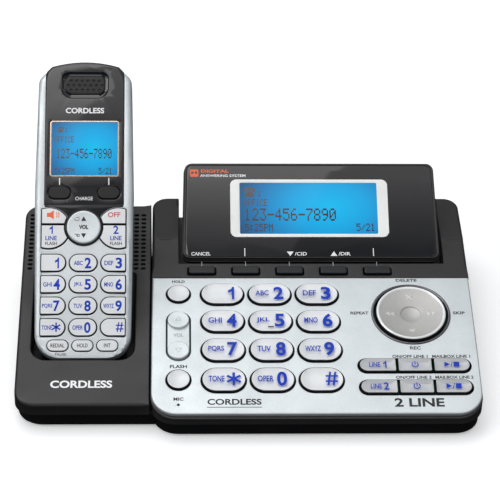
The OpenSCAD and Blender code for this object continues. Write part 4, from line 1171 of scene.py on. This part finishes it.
for i, word in zip((-1, 0, 1), ("REDIAL", "HOLD", "INT")):
    shape.slab(handset, stadium(10.4, 5.4, i * 12.6, bottom_v), fillet(0.35, 4, 0.8), KEY_FOOT,
               looks=(0, 1, 1))
    ink.words(handset, word, i * 12.6, bottom_v, {"REDIAL": 7.0, "HOLD": 5.4, "INT": 3.4}[word], 2.0, 0.83,
              0.015)
shape.piece("handset_keys_bottom_caps", "handset_keys_bottom", [KEY, KEY_SHADE], "key_grey",
            ["handset_keys_bottom"])
ink.marks("handset_keys_bottom_legend", "handset_keys_bottom", INK_BLACK)
for node, side, upper in (("handset_speaker_key", -1, True), ("handset_off_key", 1, True),
                          ("handset_line_1_key", -1, False), ("handset_line_2_key", 1, False)):
    Shape().slab(handset, block_outline(side, upper), key_top, key_edge + KEY_FOOT,
                 looks=(0, 1, 1)).piece(node + "_cap", node, [KEY, KEY_SHADE], "key_grey", [node])
for side, node in ((-1, "handset_soft_left"), (1, "handset_soft_right")):
    Shape().slab(handset, stadium(11.4, 6.6, side * soft_u, soft_v), fillet(0.5, 4, 0.9),
                 [(0, -1.4)]).piece(
        node + "_cap", node, BLACK, "black_plastic", [node])
disc = at(handset, 0, nav_v)
Shape().lathe(disc, [(0, 0.78), (3, 0.82), (6, 0.94), (7.4, 1.06), (7.9, 1.1), (8.3, 1.02), (8.6, 0.8),
                     (8.75, 0.45),
                     (8.8, 0.1), (8.8, -1.6), (0, -1.6)], 64).piece(
    "handset_nav_disc", "handset_nav_key", SILVER, "silver_paint", ["handset_nav_key"])
ink = Print()
ink.shape(disc, np.array([(-1.3, 3.2), (1.3, 3.2), (0, 5.6)]), 0.99)
ink.shape(disc, np.array([(-1.3, -3.4), (0, -5.8), (1.3, -3.4)]), 0.99)
ink.words(disc, "VOL", 0, 0, 4.8, 2.3, 0.9, 0.04)
ink.words(disc, "CID", -3.4, -4.5, 2.9, 1.7, 0.95, 0.03)
ink.line(disc, [(-4.6, 3.7), (-3.5, 3.3), (-2.4, 3.7), (-2.4, 5.3), (-3.5, 4.9), (-4.6, 5.3), (-4.6, 3.7)],
         0.3, 0.98)
ink.marks("handset_nav_legend", "handset_nav_key", INK_BLACK)
ink = Print()
for i in range(2):
    ink.line(handset, [(-14.6 + 1.0 * i + 0.9 * math.cos(a), 74.7 + 1.6 * math.sin(a))
                       for a in np.radians(np.linspace(-60, 60, 9))], 0.42, 0.94)
ink.shape(handset, np.array([(-18.9, 73.6), (-17.4, 73.6), (-15.4, 72.3), (-15.4, 77.1), (-17.4, 75.8),
                             (-18.9, 75.8)]),
          0.94)
ink.marks("handset_speaker_legend", "handset_speaker_key", INK_ORANGE)
ink = Print()
ink.words(handset, "OFF", 15.6, 74.8, 6.4, 2.7, 0.94, 0.015)
ink.marks("handset_off_legend", "handset_off_key", INK_RED)
for n, side in (("1", -1), ("2", 1)):
    node = "handset_line_%s_key" % n
    ink = Print()
    ink.digit(handset, n, side * 16.6, 66.8, 2.7, 4.4, 0.94, 0.02)
    ink.words(handset, "LINE", side * 16.6, 62.4, 5.8, 2.3, 0.94, 0.02)
    ink.marks(node + "_legend", node, INK_BLUE)
    ink = Print()
    ink.words(handset, "FLASH", side * 16.6, 59.6, 6.0, 1.7, 0.94, 0.015)
    ink.marks(node + "_flash_label", node, INK_BLACK)
ink = Print()
ink.words(handset, "CHARGE", 0, 83.6, 9.0, 1.9, 0.29, 0.01)
ink.words(handset, "CORDLESS", 0, 131.0, 20.0, 3.0, 0.29, 0.03)
for side in (-1, 1):
    ink.line(handset, [(side * soft_u, 90.9), (side * soft_u, 94.6)], 0.55, 0.29)
ink.marks("handset_labels", "handset", INK_WHITE)
ink = Print()
ink.words(handset, "PAUSE", -11.0, 2.0, 5.6, 1.3, 0.03, 0.01)
ink.marks("handset_pause_label", "handset", INK_BLACK)

# Back of the handset: a rounded shell and the battery door
BACK_D = [0, 0.25, 0.8, 1.7, 3.1, 5.2, 8.2, 12]
BACK_H = [-12.0, -14.5, -17.2, -19.8, -22.3, -24.3, -25.3, -25.6]


def back_limit(v):
    return float(np.interp(v, [-1, 3, 8, 14, 134, 148, 156, 160],
                           [-12.5, -18.2, -22.2, -25.6, -25.6, -23.2, -17.8, -11.5]))


def back_h(u, v):
    return max(float(np.interp(edge_distance(u, v), BACK_D, BACK_H)), back_limit(v))


Shape().slab(handset, outline, [(d, 0) for d in (4.4, 3.1, 1.7, 0.8, 0.25, 0)],
             [(0, -10.5), (0.25, -10.15)],
             step=2.5, lift=back_h).piece("handset_back", "handset", BLACK, "black_plastic",
                                          ["handset_back_shell"])


def door_place(u, v, h):
    return handset(u, v, back_h(u, v) - h)


def door_grip(u, v):
    share = smooth((v - 66) / 3) * smooth((88 - v) / 3) * smooth((12.5 - abs(u)) / 2)
    return 0.22 * max(0.0, math.sin(2 * math.pi * v / 3.0)) * share


Shape().slab(door_place, fine(rounded(-18.6, 18.6, 14, 92, (6, 6, 2, 2)), 2.5), fillet(0.25, 3, 0.38),
             [(0, -0.2)],
             step=2.0, rows=list(np.arange(15, 66, 3.0)) + list(np.arange(66, 90, 0.5)),
             lift=door_grip).piece(
    "battery_door_ribbed", "battery_door", BLACK, "black_plastic", ["handset_battery_door"])


# ---------- cradle ----------
def cradle_place(x, y, h):
    return (x, y, split_z if h is None else cradle_top(y) + h)


cradle_plan = fine(rounded(left_x, seam_x, cradle_front, cradle_back, (10, 0, 0, 8), 12), 4)
c, s = math.cos(lean), math.sin(lean)
slack, well_floor = 0.8, 6.2
well_y0 = handset_y - slack / c - (cradle_top(handset_y) - handset_z) * s / c
well_y1 = 8.3
well_top = fine(rounded(handset_x - half_w - 0.9, handset_x + half_w + 0.9, well_y0, well_y1, (8, 8, 2, 2),
                        10), 4)
floor_y0 = handset_y + (-slack - (well_floor - handset_z) * s) / c
floor_y1 = handset_y + (handset_t + 0.6 + (well_floor - handset_z) * c) / s
well_bottom = np.array([(x, floor_y0 + (y - well_y0) / (well_y1 - well_y0) * (floor_y1 - floor_y0),
                         well_floor)
                        for x, y in well_top])
cradle_holes = [(well_top, [(0.7, 0), (0.35, -0.06), (0.1, -0.25), (0, -0.7)], well_bottom)]
for x in (left_x + 4.1, left_x + 7.8, seam_x - 4, seam_x - 7.8):
    for k in range(14):
        y = cradle_back - 7.6 - k * 2.85
        if not (y < well_y1 + 2 and handset_x - half_w - 2 < x < handset_x + half_w + 2):
            cradle_holes.append((stadium(2.5, 1.45, x, y, 5), [(0.12, 0), (0, -0.15), (0, -2.5)], True))


def cradle_soft(x, y):
    return 0.35 if x > seam_x - 3 else 1.0


Shape().slab(cradle_place, cradle_plan, fillet(1.8, 6), [(0, None)], cradle_holes, step=5,
             soft=cradle_soft).piece(
    "cradle_housing", "base", CHARCOAL, "charcoal_plastic", ["cradle_cover"])


def along_back(v, w=-handset_t - 0.6):
    return handset(0, v, w)[1:]


rest_half, rest_back = 15.0, cradle_back - 6
top_y, top_z = along_back(94)
corner = (rest_back, top_z - (rest_back - top_y) / math.tan(lean))
rest_loop = clean([along_back(44), (rest_back, cradle_top(rest_back) - 3), corner, (top_y, top_z)])
Shape().slab(lambda y, z, h: (handset_x + rest_half + h, y, z), rest_loop, fillet(1.4, 5),
             [(0, 1.4 - 2 * rest_half)] + [(r, -2 * rest_half - h) for r, h in fillet(1.4, 5)[-2::-1]]).piece(
    "cradle_back_rest", "base", CHARCOAL)
ink = Print()
ink.words(lambda u, v, h: cradle_place(u, v, h), "CORDLESS", handset_x, -64.0, 31.0, 4.6, 0.03, 0.03)
ink.marks("cradle_label", "base", INK_WHITE)

# ---------- floor, lights and camera ----------
def shader_only(name, colour, strength=0.0, rough=0.6):
    mat = bpy.data.materials.new(name)
    mat.use_nodes = True
    shader = mat.node_tree.nodes["Principled BSDF"]
    shader.inputs["Base Color"].default_value = (*colour, 1)
    shader.inputs["Roughness"].default_value = rough
    if strength:
        shader.inputs["Emission Color"].default_value = (*colour, 1)
        shader.inputs["Emission Strength"].default_value = strength
    return mat


def flat(name, points, look, glossy_only=False):
    mesh = bpy.data.meshes.new(name)
    mesh.from_pydata([(x / 1000, y / 1000, z / 1000) for x, y, z in points], [],
                     [tuple(range(len(points)))])
    mesh.materials.append(look)
    obj = bpy.data.objects.new(name, mesh)
    bpy.context.scene.collection.objects.link(obj)
    if glossy_only:
        for ray in ("camera", "diffuse", "transmission", "volume_scatter", "shadow"):
            setattr(obj, "visible_" + ray, False)


flat("floor", [(-6000, -6000, 0), (6000, -6000, 0), (6000, 6000, 0), (-6000, 6000, 0)],
     shader_only("studio_floor", (0.93, 0.93, 0.93), 0.28))
bpy.data.objects["floor"].visible_glossy = bpy.data.objects["floor"].visible_diffuse = False


def glow(name, stops):
    """A lamp's even surface, brighter or dimmer along y: (y in metres, strength) from front to back."""
    mat = shader_only(name, (1.0, 0.97, 0.96), 1.0)
    nodes, links = mat.node_tree.nodes, mat.node_tree.links
    place, split = nodes.new("ShaderNodeTexCoord"), nodes.new("ShaderNodeSeparateXYZ")
    links.new(place.outputs["Object"], split.inputs["Vector"])
    last = None
    for (y0, s0), (y1, s1) in zip(stops, stops[1:]):
        part = nodes.new("ShaderNodeMapRange")
        for key, value in (("From Min", y0), ("From Max", y1), ("To Min", s0 if last is None else 0.0),
                           ("To Max", s1 if last is None else s1 - s0)):
            part.inputs[key].default_value = value
        links.new(split.outputs["Y"], part.inputs["Value"])
        if last is None:
            last = part.outputs["Result"]
        else:
            add = nodes.new("ShaderNodeMath")
            links.new(last, add.inputs[0])
            links.new(part.outputs["Result"], add.inputs[1])
            last = add.outputs["Value"]
    shader = nodes["Principled BSDF"]
    shader.inputs["Base Color"].default_value = (0, 0, 0, 1)
    links.new(last, shader.inputs["Emission Strength"])
    return mat


CARD_Z = 1000.0
PHONE_GLOW = [(-0.50, 0.5), (-0.42, 0.8), (-0.34, 2.1), (-0.27, 3.4), (-0.20, 4.0)]
BASE_GLOW = [(-0.20, 0.3), (-0.11, 0.5), (-0.07, 1.1), (-0.02, 2.6), (0.10, 2.8)]
for name, share, stops, loop in (
        ("card_phone_left", 1.0, PHONE_GLOW, [(-1800, -900), (-257, -900), (-13, 200), (-1800, 200)]),
        ("card_phone_right", 0.5, PHONE_GLOW, [(-257, -900), (1400, -900), (1400, -200), (-102, -200)]),
        ("card_base_left", 1.0, BASE_GLOW, [(-102, -200), (38.6, -200), (205, 200), (-13, 200)]),
        ("card_base_right", 0.5, BASE_GLOW, [(38.6, -200), (1400, -200), (1400, 200), (205, 200)])):
    flat(name, [(x, y, CARD_Z) for x, y in loop], glow(name, [(y, share * g) for y, g in stops]), True)


def softbox(name, place, target, size, power, colour=(1, 1, 1)):
    light = bpy.data.lights.new(name, "AREA")
    light.shape, light.size, light.size_y = "RECTANGLE", *size
    light.energy, light.color = power, colour
    obj = bpy.data.objects.new(name, light)
    obj.location = place
    obj.rotation_mode = "QUATERNION"
    obj.rotation_quaternion = (Vector(target) - Vector(place)).to_track_quat("-Z", "Y")
    bpy.context.scene.collection.objects.link(obj)


softbox("top_softbox", (-0.45, 0.60, 1.6), (0, 0, 0), (1.4, 1.1), 8.5)
softbox("left_softbox", (-1.3, -0.4, 0.9), (0, 0, 0), (0.9, 0.9), 5)
softbox("front_fill", (0.3, -1.5, 1.3), (0, 0, 0.03), (1.2, 0.8), 6)

scene = bpy.context.scene
world = bpy.data.worlds.new("studio")
scene.world = world
world.use_nodes = True
nodes, links = world.node_tree.nodes, world.node_tree.links
sky, part, grade = (nodes.new("ShaderNode" + kind) for kind in ("TexCoord", "SeparateXYZ", "ValToRGB"))
links.new(sky.outputs["Generated"], part.inputs["Vector"])
links.new(part.outputs["Z"], grade.inputs["Fac"])
for stop, tone in zip(grade.color_ramp.elements, (0.02, 0.85)):
    stop.color = (0.96 * tone, 0.98 * tone, tone, 1)
links.new(grade.outputs["Color"], nodes["Background"].inputs["Color"])
nodes["Background"].inputs["Strength"].default_value = 1.0
scene.view_settings.view_transform = "Standard"

lens = bpy.data.cameras.new("camera")
lens.lens, lens.sensor_width = 146.9, 36.0
camera = bpy.data.objects.new("camera", lens)
camera.location = (-0.0356, -0.8421, 0.6889)
camera.rotation_mode = "QUATERNION"
camera.rotation_quaternion = (Quaternion((1, 0, 0), math.radians(90 - 37))
                              @ Quaternion((0, 1, 0), math.radians(-2.02)))
scene.collection.objects.link(camera)
scene.camera = camera
